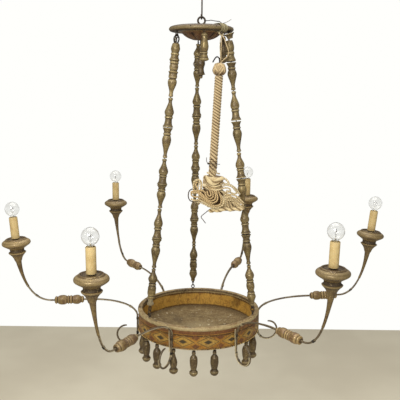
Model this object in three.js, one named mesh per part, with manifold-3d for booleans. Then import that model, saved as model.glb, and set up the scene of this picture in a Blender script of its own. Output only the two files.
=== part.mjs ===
// Hanging chandelier of turned, gilded wood with six scrolled iron arms.
// Millimetres, +Z up. The origin is the centre of the eye at the top of the suspension hook.
import * as THREE from "three";
import { mergeVertices } from "three/addons/utils/BufferGeometryUtils.js";
import Module from "manifold-3d";

const wasm = await Module();
wasm.setup();

// Clearances
const SEAT_GAP = 0.3;
const SWAY_GAP = 0.6;
const BORE_GAP = 0.3;
const THREAD_GAP = 0.5;

// Suspension hook and the ring that hangs on it
const HOOK_LENGTH = 78;
const HOOK_WIRE = 4.5;
const HOOK_BEND = 9;
const HOOK_TIP = 6;
const HOOK_EYE_SWEEP = 290;
const RING_RADIUS = 11;
const RING_WIRE = 6;
const SHANK_RADIUS = 4;
const NUT_RADIUS = 9;
const NUT_HEIGHT = 5;
const NUT_RECESS = 6;
const FINIAL_DEPTH = 32;
const FINIAL_LENGTH = 84;
const FINIAL_RADIUS = 13.5;
const FINIAL_WIRE = 4;
const FINIAL_SIDES = 8;
// The finial from its tip: share of its length, and share of its full radius there
const FINIAL_PROFILE = [[0, 0.2], [0.05, 0.42], [0.13, 0.5], [0.145, 1], [0.2, 0.86], [0.35, 0.68],
  [0.53, 0.96], [0.66, 0.8], [0.8, 0.5], [0.88, 0.33], [0.94, 0.45], [1, 0.4]];

// Canopy, a turned disc with a dish carved under it
const CANOPY_RADIUS = 100;
const CANOPY_THICKNESS = 20;
const CANOPY_SIDES = 24;
const DISH_RADIUS = 62;
const DISH_DEPTH = 24;

// Wire eyes and loops that carry the chains and the drops
const EYE = { radius: 5.5, wire: 3, stand: 2.5, bury: 5, sides: 6, steps: 8 };
const STAPLE = { radius: 3, wire: 1.8, stand: 2.5, bury: 1.5, sides: 4, steps: 4 };

// Chains of turned balusters, from under the canopy's edge to the tray's rim
const CHAIN_TOP_INSET = 9;
const CHAIN_FOOT_INSET = 10;
const CAGE_HEIGHT = 855;
const CHAIN_SIDES = 7;
const CHAIN_STEM = 10;
const BALUSTER_RADIUS = 14.7;
const BALUSTER_GAP = 2.5;
// Each hand-strung chain: the bare wire at its head and foot as shares of the stem, and the lengths of
// the two halves of each double baluster, from the foot up, as shares of the wood
const CHAINS = [
  { place: 90, head: 0.8, foot: 0.8, shares: [[58, 83], [92, 88], [95, 81], [99, 95], [74, 65]] },
  { place: 210, head: 1.7, foot: 4, shares: [[29, 67], [93, 95], [73, 81], [94, 91], [108, 53]] },
  { place: 330, head: 0.6, foot: 1, shares: [[63, 70], [100, 92], [84, 81], [97, 92], [86, 65]] },
];
// A half baluster from its thin end: share of its length, and share of the full radius there
const HALF_BALUSTER = [[0, 0.48], [0.14, 0.34], [0.5, 0.92], [0.68, 0.68], [0.92, 1], [1, 0.82]];

// Tray, a hoop with a rolled rim and a board in its foot
const TRAY_RADIUS = 200;
const TRAY_HEIGHT = 72;
const TRAY_SIDES = 36;
const RIM_PROUD = 2;
const RIM_HEIGHT = 12;
const RIM_WIDTH = 16;
const WALL_THICKNESS = 10;
const LIP_WIDTH = 8;
const LIP_THICKNESS = 2.7;
const FLOOR_THICKNESS = 7;

// Turned drops under the tray and under the canopy
const DROP_LENGTH = 82;
const DROP_RADIUS = 14;
const DROP_SIDES = 7;
const TRAY_DROP_INSET = 15;
const TRAY_DROP_COUNT = 18;
const TRAY_DROP_LOST = [300];
const CANOPY_DROP_INSET = 12;
const CANOPY_DROP_PLACES = [30, 270];
// A drop from its tip: share of its length, and share of its full radius there
const DROP_PROFILE = [[0, 0.2], [0.07, 0.79], [0.15, 1], [0.3, 0.69], [0.46, 0.86], [0.74, 0.45],
  [0.85, 0.3], [0.92, 0.45], [1, 0.4]];

// Arms: an iron rod that curls below the tray, climbs its wall and bends over and up to a cup
const ROD_WIRE = 6;
const ROD_SIDES = 6;
const VOLUTE_RADIUS = 36;
const VOLUTE_END_RADIUS = 28;
const VOLUTE_DEPTH = 88;
const VOLUTE_SWEEP = 272;
const ARCH_FOOT_DEPTH = 30;
const ARCH_LIFT = 34;
const ARCH_REACH = 110;
const STRAP = { thickness: 2.4, width: 9, top: -24, foot: -66 };
const ARCH_HEIGHT = 36;
const BEAD_REACH = 226;
const BEAD_LENGTH = 93;
const BEAD_RADIUS = 15;
const BEAD_MARGIN = 8;
const BEAD_SIDES = 8;
// A bead from its inner end: share of its length, and share of its full radius there
const BEAD_PROFILE = [[0, 0.53], [0.06, 0.77], [0.22, 0.93], [0.46, 0.83], [0.52, 0.73], [0.58, 0.84],
  [0.8, 1], [0.9, 0.77], [0.94, 0.83], [1, 0.53]];
const SEAT_REACH = 376;
const SEAT_HEIGHT = 200;
const RISE_REACH = 55;
const RISE_CLIMB = 90;
const STEM_LEAN = 8;
const STEM_START = 0.6;
const ROD_END = 0.78;
const STEM_RADII = [5.4, 10.3];
const STEM_SIDES = 7;

// How each hand-bent arm sits: its place round the tray, its sideways turn at the wall and the lean of
// its candle in degrees; the height of its arch, the reach of its bead and the height of its seat as
// shares of the sizes above
const ARMS = [
  { place: 0, turn: 1.7, lean: 6, arch: 0.67, bead: 1, seat: 0.91 },
  { place: 60, turn: 6.4, lean: 0, arch: 1.11, bead: 0.97, seat: 1.1 },
  { place: 120, turn: -1.4, lean: 0, arch: 1.14, bead: 1, seat: 1.04 },
  { place: 180, turn: 0.8, lean: 4.5, arch: 0.92, bead: 0.97, seat: 0.88 },
  { place: 240, turn: -5, lean: 1, arch: 0.83, bead: 1.04, seat: 0.985 },
  { place: 300, turn: -0.3, lean: 1.5, arch: 1.08, bead: 1.01, seat: 1.03 },
];

// Candle cup, measured up from the top of its stem: share of the pan's radius, and share of its height
const CUP_SIDES = 10;
const PAN_RADIUS = 44.5;
const PAN_FLOOR = 61;
const CUP_PROFILE = [[0.19, -0.2], [0.24, -0.14], [0.29, -0.03], [0.37, 0.08], [0.46, 0.17], [0.58, 0.26],
  [0.6, 0.31], [0.5, 0.48], [0.58, 0.56], [0.87, 0.69], [1, 0.79], [0.98, 0.87], [0.81, 0.98], [0.65, 1.05],
  [0.58, 1]];

// Candle sleeve with the lampholder in it, and the bulb
const CANDLE_RADIUS = 13;
const CANDLE_HEIGHT = 70;
const CANDLE_SIDES = 10;
const CANDLE_FOOT = { radius: 10.5, height: 3 };
const CANDLE_MOUTH = { radius: 11.8, depth: 1.5 };
const CAP_RADIUS = 6.9;
const CAP_LENGTH = 23;
const SOCKET_DEPTH = 25;
const GLOBE_RADIUS = 22.3;
const GLOBE_RISE = 27;
const BULB_SIDES = 10;

// Tassel, which leans a little because its skirt rests on a chain
const TASSEL_PLACE = 305;
const TASSEL_INSET = 8;
const TASSEL_LEAN = 2.9;
const TASSEL_LEANS_TO = 174;
const TWINE_RADIUS = 1.6;
const KNOT_DEPTH = 100;
const KNOT_RADIUS = 20;
const ROPE_RADIUS = 13;
const ROPE_LENGTH = 310;
const ROPE_STEPS = 5;
const HEAD_RADIUS = 28;
const HEAD_LENGTH = 50;
const SKIRT_LENGTH = 108;
const SKIRT_HALF_WIDTH = 76;
const SKIRT_HALF_DEPTH = 45;
const SKIRT_OFFSET = 6;

// Heights, from the hook down
const hookBarZ = -HOOK_LENGTH;
const ringZ = hookBarZ + HOOK_WIRE / 2 + RING_WIRE / 2 + SEAT_GAP - RING_RADIUS;
const canopyZ = ringZ - RING_RADIUS - RING_WIRE / 2 - SEAT_GAP;
const canopyUnderZ = canopyZ - CANOPY_THICKNESS;
const dishFootZ = canopyUnderZ - DISH_DEPTH;
const eyeReach = EYE.stand + 2 * EYE.radius;
const stapleReach = STAPLE.stand + STAPLE.radius;
const chainHingeZ = canopyUnderZ - eyeReach;
const rimZ = chainHingeZ - CAGE_HEIGHT - eyeReach;
const wallRadius = TRAY_RADIUS - RIM_PROUD;
const boreRadius = wallRadius - WALL_THICKNESS;
const rodRadius = wallRadius + SEAT_GAP + ROD_WIRE / 2;
const chainTopRadius = CANOPY_RADIUS - CHAIN_TOP_INSET;
const chainFootRadius = TRAY_RADIUS - CHAIN_FOOT_INSET;
const trayDropRadius = TRAY_RADIUS - TRAY_DROP_INSET;
const canopyDropRadius = CANOPY_RADIUS - CANOPY_DROP_INSET;
const tasselRadius = CANOPY_RADIUS - TASSEL_INSET;

const radians = THREE.MathUtils.degToRad;

// Materials
function finish(color, roughness, metalness = 0) {
  return new THREE.MeshStandardMaterial({ color, roughness, metalness });
}
const giltWood = finish(0x8d7a4e, 0.6);
const paintedWood = finish(0x9a6f2e, 0.55);
const boardWood = finish(0x6e6140, 0.85);
const iron = finish(0x3b352c, 0.6, 0.8);
const ivory = finish(0xdcc78c, 0.5);
const clearGlass = finish(0xf2f2ee, 0.05);
const rope = finish(0xc2b084, 0.95);

// Solids of three.js geometries, and geometries of solids
function solidOf(geometry) {
  const bare = new THREE.BufferGeometry();
  bare.setAttribute("position", geometry.getAttribute("position"));
  bare.setIndex(geometry.index);
  const merged = mergeVertices(bare, 1e-4);
  return new wasm.Manifold(new wasm.Mesh({
    numProp: 3,
    vertProperties: new Float32Array(merged.attributes.position.array),
    triVerts: new Uint32Array(merged.index.array),
  }));
}

function geometryOf(solid) {
  const { vertProperties, triVerts } = solid.getMesh();
  const geometry = new THREE.BufferGeometry();
  geometry.setAttribute("position", new THREE.BufferAttribute(vertProperties, 3));
  return geometry.setIndex(new THREE.BufferAttribute(triVerts, 1));
}

function joined(...geometries) {
  return geometryOf(geometries.map(solidOf).reduce((sum, solid) => sum.add(solid)));
}

function cut(geometry, tool) {
  return geometryOf(solidOf(geometry).subtract(solidOf(tool)));
}

// A turned shape about +Z; its profile of [radius, height] runs up the outside
function turned(profile, sides) {
  const points = profile.map(([r, z]) => new THREE.Vector2(r, z));
  return new THREE.LatheGeometry(points, sides).rotateX(Math.PI / 2);
}

// The points of a profile given as shares of a length, from low to high, and of a radius
function profileBetween(low, high, radius, shares) {
  return shares.map(([along, out]) => [radius * out, THREE.MathUtils.lerp(low, high, along)]);
}

// A path in the XZ plane, made of sections of plane curves that each have their own steps
class SectionedPath extends THREE.Curve {
  constructor(sections) {
    super();
    this.sections = sections;
    this.steps = sections.reduce((sum, section) => sum + section.steps, 0);
  }

  getPoint(t, target = new THREE.Vector3()) {
    let step = t * this.steps;
    let section = this.sections[0];
    for (let i = 1; i < this.sections.length && step > section.steps; i += 1) {
      step -= section.steps;
      section = this.sections[i];
    }
    const { curve, steps, from = 0, to = 1 } = section;
    const point = curve.getPoint(THREE.MathUtils.lerp(from, to, step / steps));
    return target.set(point.x, 0, point.y);
  }

  // Steps are spread evenly over each section, not over the whole length
  getUtoTmapping(u) {
    return u;
  }
}

// A plane spiral whose radius changes evenly with its angle
class Volute extends THREE.Curve {
  constructor(x, y, radii, angles) {
    super();
    Object.assign(this, { x, y, radii, angles });
  }

  getPoint(t, target = new THREE.Vector2()) {
    const radius = THREE.MathUtils.lerp(...this.radii, t);
    const angle = radians(THREE.MathUtils.lerp(...this.angles, t));
    return target.set(this.x + radius * Math.cos(angle), this.y + radius * Math.sin(angle));
  }
}

// A round bar along a path
function bar(path, radius, sides) {
  const corners = Array.from({ length: sides }, (_, i) => {
    const angle = (i * 2 * Math.PI) / sides;
    return new THREE.Vector2(radius * Math.cos(angle), radius * Math.sin(angle));
  });
  const options = { extrudePath: path, steps: path.steps, bevelEnabled: false };
  return new THREE.ExtrudeGeometry(new THREE.Shape(corners), options);
}

// A bar that tapers along a path in the XZ plane, bent from a straight cylinder
function taperedBar(path, [startRadius, endRadius], sides) {
  const geometry = new THREE.CylinderGeometry(1, 1, 1, sides, path.steps);
  const position = geometry.getAttribute("position");
  const vertex = new THREE.Vector3();
  for (let i = 0; i < position.count; i += 1) {
    vertex.fromBufferAttribute(position, i);
    const t = vertex.y + 0.5;
    const radius = THREE.MathUtils.lerp(startRadius, endRadius, t);
    const along = path.getTangent(t);
    const centre = path.getPoint(t);
    position.setXYZ(i, centre.x - along.z * vertex.x * radius, vertex.z * radius,
      centre.z + along.x * vertex.x * radius);
  }
  return geometry;
}

// A ring of wire standing in the XZ plane, its centre at height z
function ringAt(size, z) {
  return new THREE.TorusGeometry(size.radius, size.wire / 2, size.sides, size.steps)
    .rotateX(Math.PI / 2)
    .translate(0, 0, z);
}

// A screw eye that hangs from z = 0, its ring facing along X
function screwEye(size) {
  const ring = ringAt(size, -size.stand - size.radius).rotateZ(Math.PI / 2);
  const length = size.bury + size.stand + size.wire / 2;
  const shank = new THREE.CylinderGeometry(size.wire / 2, size.wire / 2, length, size.sides)
    .rotateX(Math.PI / 2)
    .translate(0, 0, size.bury - length / 2);
  return joined(ring, shank);
}

// A staple that hangs from z = 0, its bend facing along Y
function staple(size) {
  const { radius, wire, stand, bury, sides, steps } = size;
  const at = (x, y) => new THREE.Vector2(x, y);
  const path = new SectionedPath([
    { curve: new THREE.LineCurve(at(-radius, bury), at(-radius, -stand)), steps: 1 },
    { curve: new THREE.EllipseCurve(0, -stand, radius, radius, Math.PI, 2 * Math.PI), steps },
    { curve: new THREE.LineCurve(at(radius, -stand), at(radius, bury)), steps: 1 },
  ]);
  return bar(path, wire / 2, sides);
}

// Height of a loop's centre over the bar that it hangs on
function loopOver(size) {
  return size.wire + SEAT_GAP - size.radius;
}

function place(geometry, radius, degrees, z) {
  return geometry.translate(radius, 0, z).rotateZ(radians(degrees));
}

function mesh(name, geometry, material) {
  const made = new THREE.Mesh(geometry, material);
  made.name = name;
  return made;
}

// A group at a radius, a place round the axis and a height, its local X pointing outwards
function station(radius, degrees, z, ...children) {
  const inner = new THREE.Group();
  inner.position.set(radius, 0, z);
  inner.add(...children);
  const outer = new THREE.Group();
  outer.rotation.z = radians(degrees);
  outer.add(inner);
  return outer;
}

// Suspension hook: an open eye, a straight shank and a hook under it
function suspensionHook() {
  const at = (x, y) => new THREE.Vector2(x, y);
  const bendZ = hookBarZ + HOOK_BEND;
  const eyeStart = Math.PI - radians(HOOK_EYE_SWEEP);
  const path = new SectionedPath([
    { curve: new THREE.EllipseCurve(0, 0, HOOK_BEND, HOOK_BEND, eyeStart, Math.PI), steps: 12 },
    { curve: new THREE.LineCurve(at(-HOOK_BEND, 0), at(-HOOK_BEND, bendZ)), steps: 1 },
    { curve: new THREE.EllipseCurve(0, bendZ, HOOK_BEND, HOOK_BEND, Math.PI, 2 * Math.PI), steps: 8 },
    { curve: new THREE.LineCurve(at(HOOK_BEND, bendZ), at(HOOK_BEND, bendZ + HOOK_TIP)), steps: 1 },
  ]);
  return mesh("suspension_hook", bar(path, HOOK_WIRE / 2, 6).rotateZ(Math.PI / 2), iron);
}

// Ring with its shank through the canopy, the nut under the dish and the finial on the shank's end
function hangingRing() {
  const nutTopZ = dishFootZ + NUT_RECESS - SEAT_GAP;
  const shankTopZ = ringZ - RING_RADIUS;
  const shankLength = shankTopZ - nutTopZ + NUT_HEIGHT;
  const ring = new THREE.TorusGeometry(RING_RADIUS, RING_WIRE / 2, 8, 16)
    .rotateX(Math.PI / 2)
    .translate(0, 0, ringZ);
  const shank = new THREE.CylinderGeometry(SHANK_RADIUS, SHANK_RADIUS, shankLength, 10)
    .rotateX(Math.PI / 2)
    .translate(0, 0, shankTopZ - shankLength / 2);
  const nut = new THREE.CylinderGeometry(NUT_RADIUS, NUT_RADIUS, NUT_HEIGHT, 6)
    .rotateX(Math.PI / 2)
    .translate(0, 0, nutTopZ - NUT_HEIGHT / 2);
  const finialTopZ = dishFootZ - FINIAL_DEPTH;
  const finialTipZ = finialTopZ - FINIAL_LENGTH;
  const outside = profileBetween(finialTipZ, finialTopZ, FINIAL_RADIUS, FINIAL_PROFILE);
  const finial = turned([[0, finialTipZ], ...outside, [0, finialTopZ]], FINIAL_SIDES);
  const wireLength = nutTopZ - finialTopZ + FINIAL_WIRE;
  const wire = new THREE.CylinderGeometry(FINIAL_WIRE / 2, FINIAL_WIRE / 2, wireLength, 6)
    .rotateX(Math.PI / 2)
    .translate(0, 0, nutTopZ - wireLength / 2);
  return mesh("hanging_ring", joined(ring, shank, nut, wire, finial), iron);
}

function canopy() {
  const bore = (SHANK_RADIUS + BORE_GAP) / Math.cos(Math.PI / CANOPY_SIDES);
  const recess = (NUT_RADIUS + 2 * BORE_GAP) / Math.cos(Math.PI / CANOPY_SIDES);
  const under = canopyUnderZ;
  const body = turned([
    [bore, dishFootZ + NUT_RECESS], [recess, dishFootZ + NUT_RECESS], [recess, dishFootZ],
    [DISH_RADIUS * 0.48, dishFootZ + DISH_DEPTH * 0.1], [DISH_RADIUS * 0.75, dishFootZ + DISH_DEPTH * 0.38],
    [DISH_RADIUS * 0.95, under - DISH_DEPTH * 0.14], [DISH_RADIUS, under],
    [CANOPY_RADIUS - 6, under], [CANOPY_RADIUS - 1.5, under + CANOPY_THICKNESS * 0.2],
    [CANOPY_RADIUS, canopyZ - CANOPY_THICKNESS * 0.55],
    [CANOPY_RADIUS - 3, canopyZ - CANOPY_THICKNESS * 0.33],
    [CANOPY_RADIUS - 9, canopyZ - CANOPY_THICKNESS * 0.19],
    [CANOPY_RADIUS - 20, canopyZ - CANOPY_THICKNESS * 0.07],
    [CANOPY_RADIUS - 38, canopyZ], [bore, canopyZ],
    [bore, dishFootZ + NUT_RECESS],
  ], CANOPY_SIDES);
  const eyes = CHAINS.map((chain) => place(screwEye(EYE), chainTopRadius, chain.place, under));
  const tasselEye = screwEye(EYE).rotateZ(radians(TASSEL_LEANS_TO - 180 - TASSEL_PLACE));
  eyes.push(place(tasselEye, tasselRadius, TASSEL_PLACE, under));
  for (const degrees of CANOPY_DROP_PLACES) {
    eyes.push(place(dropStaple(), canopyDropRadius, degrees, under));
  }
  return mesh("canopy", joined(body, ...eyes), giltWood);
}

// One chain: balusters on a wire, hanging from the canopy's eye down to the tray's eye
function chain({ place: degrees, head, foot, shares }) {
  const run = chainFootRadius - chainTopRadius;
  const length = Math.hypot(run, CAGE_HEIGHT);
  const wire = EYE.wire / 2;
  const topLoopZ = loopOver(EYE);
  const footLoopZ = -length - EYE.wire - SWAY_GAP + EYE.radius;
  const topZ = topLoopZ - EYE.radius;
  const footZ = footLoopZ + EYE.radius;
  const wood = topZ - footZ - (head + foot) * CHAIN_STEM - (shares.length - 1) * BALUSTER_GAP;
  const whole = shares.flat().reduce((sum, share) => sum + share, 0);
  const profile = [[0, footZ], [wire, footZ]];
  let z = footZ + foot * CHAIN_STEM;
  for (const [lowerShare, upperShare] of shares) {
    const baseZ = z + (wood * lowerShare) / whole;
    const tipZ = baseZ + (wood * upperShare) / whole;
    const lower = profileBetween(z, baseZ, BALUSTER_RADIUS, HALF_BALUSTER);
    const upper = profileBetween(tipZ, baseZ, BALUSTER_RADIUS, HALF_BALUSTER.slice(0, -1));
    profile.push([wire, z], ...lower, ...upper.reverse(), [wire, tipZ]);
    z = tipZ + BALUSTER_GAP;
  }
  profile.push([wire, topZ], [0, topZ]);
  const geometry = joined(turned(profile, CHAIN_SIDES), ringAt(EYE, topLoopZ), ringAt(EYE, footLoopZ));
  const made = mesh("chain_" + degrees, geometry, giltWood);
  made.rotation.y = -Math.atan2(run, CAGE_HEIGHT);
  return station(chainTopRadius, degrees, chainHingeZ, made);
}

// The staple that carries a drop, its bend across the radius
function dropStaple() {
  return staple(STAPLE).rotateZ(Math.PI / 2);
}

// A turned drop on its own wire staple, its origin at the bar that it hangs on
function dropGeometry() {
  const topZ = STAPLE.wire + SEAT_GAP - stapleReach;
  const loop = staple(STAPLE).rotateX(Math.PI).translate(0, 0, topZ);
  const tipZ = topZ - DROP_LENGTH;
  const outside = profileBetween(tipZ, topZ, DROP_RADIUS, DROP_PROFILE);
  return joined(turned([[0, tipZ], ...outside, [0, topZ]], DROP_SIDES), loop);
}

function drop(name, radius, degrees, z) {
  return station(radius, degrees, z - stapleReach, mesh(name, dropGeometry(), giltWood));
}

function trayWall() {
  const rimInner = TRAY_RADIUS - RIM_WIDTH;
  const lipRadius = boreRadius - LIP_WIDTH;
  const lipZ = -TRAY_HEIGHT + LIP_THICKNESS;
  const body = turned([
    [lipRadius, -TRAY_HEIGHT], [wallRadius, -TRAY_HEIGHT], [wallRadius, -RIM_HEIGHT - 1],
    [TRAY_RADIUS - 0.7, -RIM_HEIGHT + 1], [TRAY_RADIUS, -RIM_HEIGHT / 2], [TRAY_RADIUS - 2, -1.5],
    [TRAY_RADIUS - 6, 0], [rimInner + 3, 0], [rimInner, -RIM_HEIGHT * 0.25],
    [rimInner + 0.5, -RIM_HEIGHT * 0.65], [boreRadius, -RIM_HEIGHT + 1], [boreRadius, lipZ],
    [lipRadius, lipZ], [lipRadius, -TRAY_HEIGHT],
  ], TRAY_SIDES);
  const chainEyes = CHAINS.map((chain) =>
    place(screwEye(EYE).rotateX(Math.PI), chainFootRadius, chain.place, 0));
  const staples = dropPlaces().map((degrees) => place(dropStaple(), trayDropRadius, degrees, -TRAY_HEIGHT));
  return mesh("tray_wall", joined(body, ...chainEyes, ...staples), paintedWood);
}

function dropPlaces() {
  const all = Array.from({ length: TRAY_DROP_COUNT }, (_, i) => (i * 360) / TRAY_DROP_COUNT);
  return all.filter((degrees) => !TRAY_DROP_LOST.includes(degrees));
}

function trayFloor() {
  const radius = boreRadius - SEAT_GAP / Math.cos(Math.PI / TRAY_SIDES);
  const z = -TRAY_HEIGHT + LIP_THICKNESS + SEAT_GAP + FLOOR_THICKNESS / 2;
  const geometry = new THREE.CylinderGeometry(radius, radius, FLOOR_THICKNESS, TRAY_SIDES)
    .rotateX(Math.PI / 2)
    .translate(0, 0, z);
  return mesh("tray_floor", geometry, boardWood);
}

// The curves of one arm in its own upright plane, x outwards from the rod's line on the wall
function armCurves({ arch, bead: beadShare, seat: seatShare }) {
  const at = (x, y) => new THREE.Vector2(x, y);
  const archZ = ARCH_HEIGHT * arch;
  const bead = at(BEAD_REACH * beadShare, archZ);
  const beadStart = at(bead.x - BEAD_LENGTH / 2 - BEAD_MARGIN, archZ);
  const beadEnd = at(bead.x + BEAD_LENGTH / 2 + BEAD_MARGIN, archZ);
  const seat = at(SEAT_REACH, SEAT_HEIGHT * seatShare);
  const climb = at(Math.sin(radians(STEM_LEAN)), Math.cos(radians(STEM_LEAN)));
  return {
    bead,
    seat,
    volute: new Volute(VOLUTE_RADIUS, -VOLUTE_DEPTH, [VOLUTE_END_RADIUS, VOLUTE_RADIUS],
      [180 + VOLUTE_SWEEP, 180]),
    riser: new THREE.LineCurve(at(0, -VOLUTE_DEPTH), at(0, -ARCH_FOOT_DEPTH)),
    arch: new THREE.CubicBezierCurve(at(0, -ARCH_FOOT_DEPTH), at(0, ARCH_LIFT - ARCH_FOOT_DEPTH),
      at(beadStart.x - ARCH_REACH, archZ), beadStart),
    core: new THREE.LineCurve(beadStart, beadEnd),
    rise: new THREE.CubicBezierCurve(beadEnd, at(beadEnd.x + RISE_REACH, archZ),
      seat.clone().addScaledVector(climb, -RISE_CLIMB), seat),
  };
}

// The rod turns with its arm; the strap on it stays square to the wall
function armRod(name, curves, turn) {
  const path = new SectionedPath([
    { curve: curves.volute, steps: 12 },
    { curve: curves.riser, steps: 1 },
    { curve: curves.arch, steps: 7 },
    { curve: curves.core, steps: 1 },
    { curve: curves.rise, to: ROD_END, steps: 5 },
  ]);
  const strap = new THREE.BoxGeometry(STRAP.thickness, STRAP.width, STRAP.top - STRAP.foot)
    .translate((STRAP.thickness - ROD_WIRE) / 2, 0, (STRAP.top + STRAP.foot) / 2)
    .rotateZ(-radians(turn));
  return mesh(name, joined(bar(path, ROD_WIRE / 2, ROD_SIDES), strap), iron);
}

function armBead(name, curves) {
  const bore = (ROD_WIRE / 2 + BORE_GAP) / Math.cos(Math.PI / BEAD_SIDES);
  const half = BEAD_LENGTH / 2;
  const outside = profileBetween(-half, half, BEAD_RADIUS, BEAD_PROFILE);
  const geometry = turned([[bore, -half], ...outside, [bore, half], [bore, -half]], BEAD_SIDES)
    .rotateY(Math.PI / 2)
    .translate(curves.bead.x, 0, curves.bead.y);
  return mesh(name, geometry, giltWood);
}

// The cup is turned about its own leaning axis and grows out of a stem that sleeves the rod's end
function candleCup(name, curves, lean) {
  const outside = CUP_PROFILE.map(([out, up]) => [PAN_RADIUS * out, PAN_FLOOR * up]);
  const turnedCup = turned([[0, outside[0][1]], ...outside, [0, PAN_FLOOR]], CUP_SIDES)
    .rotateY(radians(lean))
    .translate(curves.seat.x, 0, curves.seat.y);
  const stemPath = new SectionedPath([{ curve: curves.rise, from: STEM_START, steps: 5 }]);
  const borePath = new SectionedPath([
    { curve: curves.rise, from: STEM_START - 0.05, to: ROD_END + 0.01, steps: 3 },
  ]);
  const boreRadiusForRod = (ROD_WIRE / 2 + BORE_GAP) / Math.cos(Math.PI / ROD_SIDES);
  const stem = taperedBar(stemPath, STEM_RADII, STEM_SIDES);
  const body = joined(turnedCup, stem);
  return mesh(name, cut(body, bar(borePath, boreRadiusForRod, ROD_SIDES)), giltWood);
}

function candle(name) {
  const socket = (CAP_RADIUS + THREAD_GAP / 2) / Math.cos(Math.PI / CANDLE_SIDES);
  const mouthZ = CANDLE_HEIGHT - CANDLE_MOUTH.depth;
  const geometry = turned([
    [0, 0], [CANDLE_FOOT.radius, 0], [CANDLE_FOOT.radius, CANDLE_FOOT.height],
    [CANDLE_RADIUS, CANDLE_FOOT.height], [CANDLE_RADIUS, CANDLE_HEIGHT],
    [CANDLE_MOUTH.radius, CANDLE_HEIGHT], [CANDLE_MOUTH.radius, mouthZ], [socket, mouthZ],
    [socket, mouthZ - SOCKET_DEPTH], [0, mouthZ - SOCKET_DEPTH],
  ], CANDLE_SIDES);
  return mesh(name, geometry, ivory);
}

// A globe lamp on its screw cap, in the candle's frame
function bulb(name) {
  const mouthZ = CANDLE_HEIGHT - CANDLE_MOUTH.depth;
  const globeZ = CANDLE_HEIGHT + GLOBE_RISE;
  const globe = [-45, -20, 0, 22, 45, 68].map((degrees) => [
    GLOBE_RADIUS * Math.cos(radians(degrees)),
    globeZ + GLOBE_RADIUS * Math.sin(radians(degrees)),
  ]);
  const geometry = turned([
    [0, mouthZ - CAP_LENGTH], [CAP_RADIUS * 0.6, mouthZ - CAP_LENGTH],
    [CAP_RADIUS, mouthZ - CAP_LENGTH * 0.8], [CAP_RADIUS, mouthZ + 0.5],
    [GLOBE_RADIUS * 0.42, globeZ - GLOBE_RADIUS * 0.98], ...globe, [0, globeZ + GLOBE_RADIUS],
  ], BULB_SIDES);
  return mesh(name, geometry, clearGlass);
}

function arm(bend) {
  const { place: degrees, turn, lean } = bend;
  const curves = armCurves(bend);
  const fitting = new THREE.Group();
  fitting.position.z = PAN_FLOOR + SEAT_GAP;
  fitting.add(candle("candle_" + degrees), bulb("bulb_" + degrees));
  const top = new THREE.Group();
  top.position.set(curves.seat.x, 0, curves.seat.y);
  top.rotation.y = radians(lean);
  top.add(fitting);
  const hand = new THREE.Group();
  hand.rotation.z = radians(turn);
  hand.add(armRod("arm_rod_" + degrees, curves, turn), armBead("arm_bead_" + degrees, curves),
    candleCup("candle_cup_" + degrees, curves, lean), top);
  return station(rodRadius, degrees, 0, hand);
}

// Tassel: a ball knot on a twine loop, a thick wound rope, and a woven head with its skirt
function tassel() {
  const loopZ = loopOver(EYE);
  const knotFoot = -KNOT_DEPTH - KNOT_RADIUS * 0.95;
  const knot = turned([
    [0, knotFoot], [ROPE_RADIUS - 1, knotFoot], [KNOT_RADIUS * 0.92, -KNOT_DEPTH - KNOT_RADIUS * 0.4],
    [KNOT_RADIUS, -KNOT_DEPTH], [KNOT_RADIUS * 0.86, -KNOT_DEPTH + KNOT_RADIUS * 0.5],
    [KNOT_RADIUS * 0.4, -KNOT_DEPTH + KNOT_RADIUS * 0.92], [TWINE_RADIUS, -KNOT_DEPTH + KNOT_RADIUS * 1.1],
    [TWINE_RADIUS, loopZ - EYE.radius], [0, loopZ - EYE.radius],
  ], 12);
  const ropeTop = knotFoot - SEAT_GAP;
  const ropeFoot = ropeTop - ROPE_LENGTH;
  const ropeLine = new THREE.LineCurve(new THREE.Vector2(0, ropeTop), new THREE.Vector2(0, ropeFoot));
  const ropePath = new SectionedPath([{ curve: ropeLine, steps: ROPE_STEPS }]);
  const headTop = ropeFoot - SEAT_GAP;
  const head = turned([
    [0, headTop - HEAD_LENGTH], [HEAD_RADIUS * 0.8, headTop - HEAD_LENGTH],
    [HEAD_RADIUS, headTop - HEAD_LENGTH * 0.7], [HEAD_RADIUS * 0.97, headTop - HEAD_LENGTH * 0.3],
    [HEAD_RADIUS * 0.6, headTop], [0, headTop],
  ], 12);
  const skirtTop = headTop - HEAD_LENGTH * 0.75;
  const skirt = turned([
    [0, headTop - SKIRT_LENGTH], [0.6, headTop - SKIRT_LENGTH], [0.9, headTop - SKIRT_LENGTH * 0.92],
    [1, headTop - SKIRT_LENGTH * 0.78], [0.85, headTop - SKIRT_LENGTH * 0.55], [0.4, skirtTop], [0, skirtTop],
  ], 14).scale(SKIRT_HALF_WIDTH, SKIRT_HALF_DEPTH, 1).translate(SKIRT_OFFSET, 0, 0);
  const hanging = new THREE.Group();
  hanging.rotation.order = "ZYX";
  hanging.rotation.set(0, radians(TASSEL_LEAN), radians(TASSEL_LEANS_TO - 180 - TASSEL_PLACE));
  hanging.add(mesh("tassel_knot", joined(knot, ringAt(EYE, loopZ)), rope),
    mesh("tassel_rope", bar(ropePath, ROPE_RADIUS, 12), rope),
    mesh("tassel_skirt", joined(head, skirt), rope));
  return station(tasselRadius, TASSEL_PLACE, chainHingeZ, hanging);
}

const tray = new THREE.Group();
tray.position.z = rimZ;
tray.add(trayWall(), trayFloor(), ...ARMS.map(arm));
for (const degrees of dropPlaces()) {
  tray.add(drop("tray_drop_" + degrees, trayDropRadius, degrees, -TRAY_HEIGHT));
}

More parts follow.
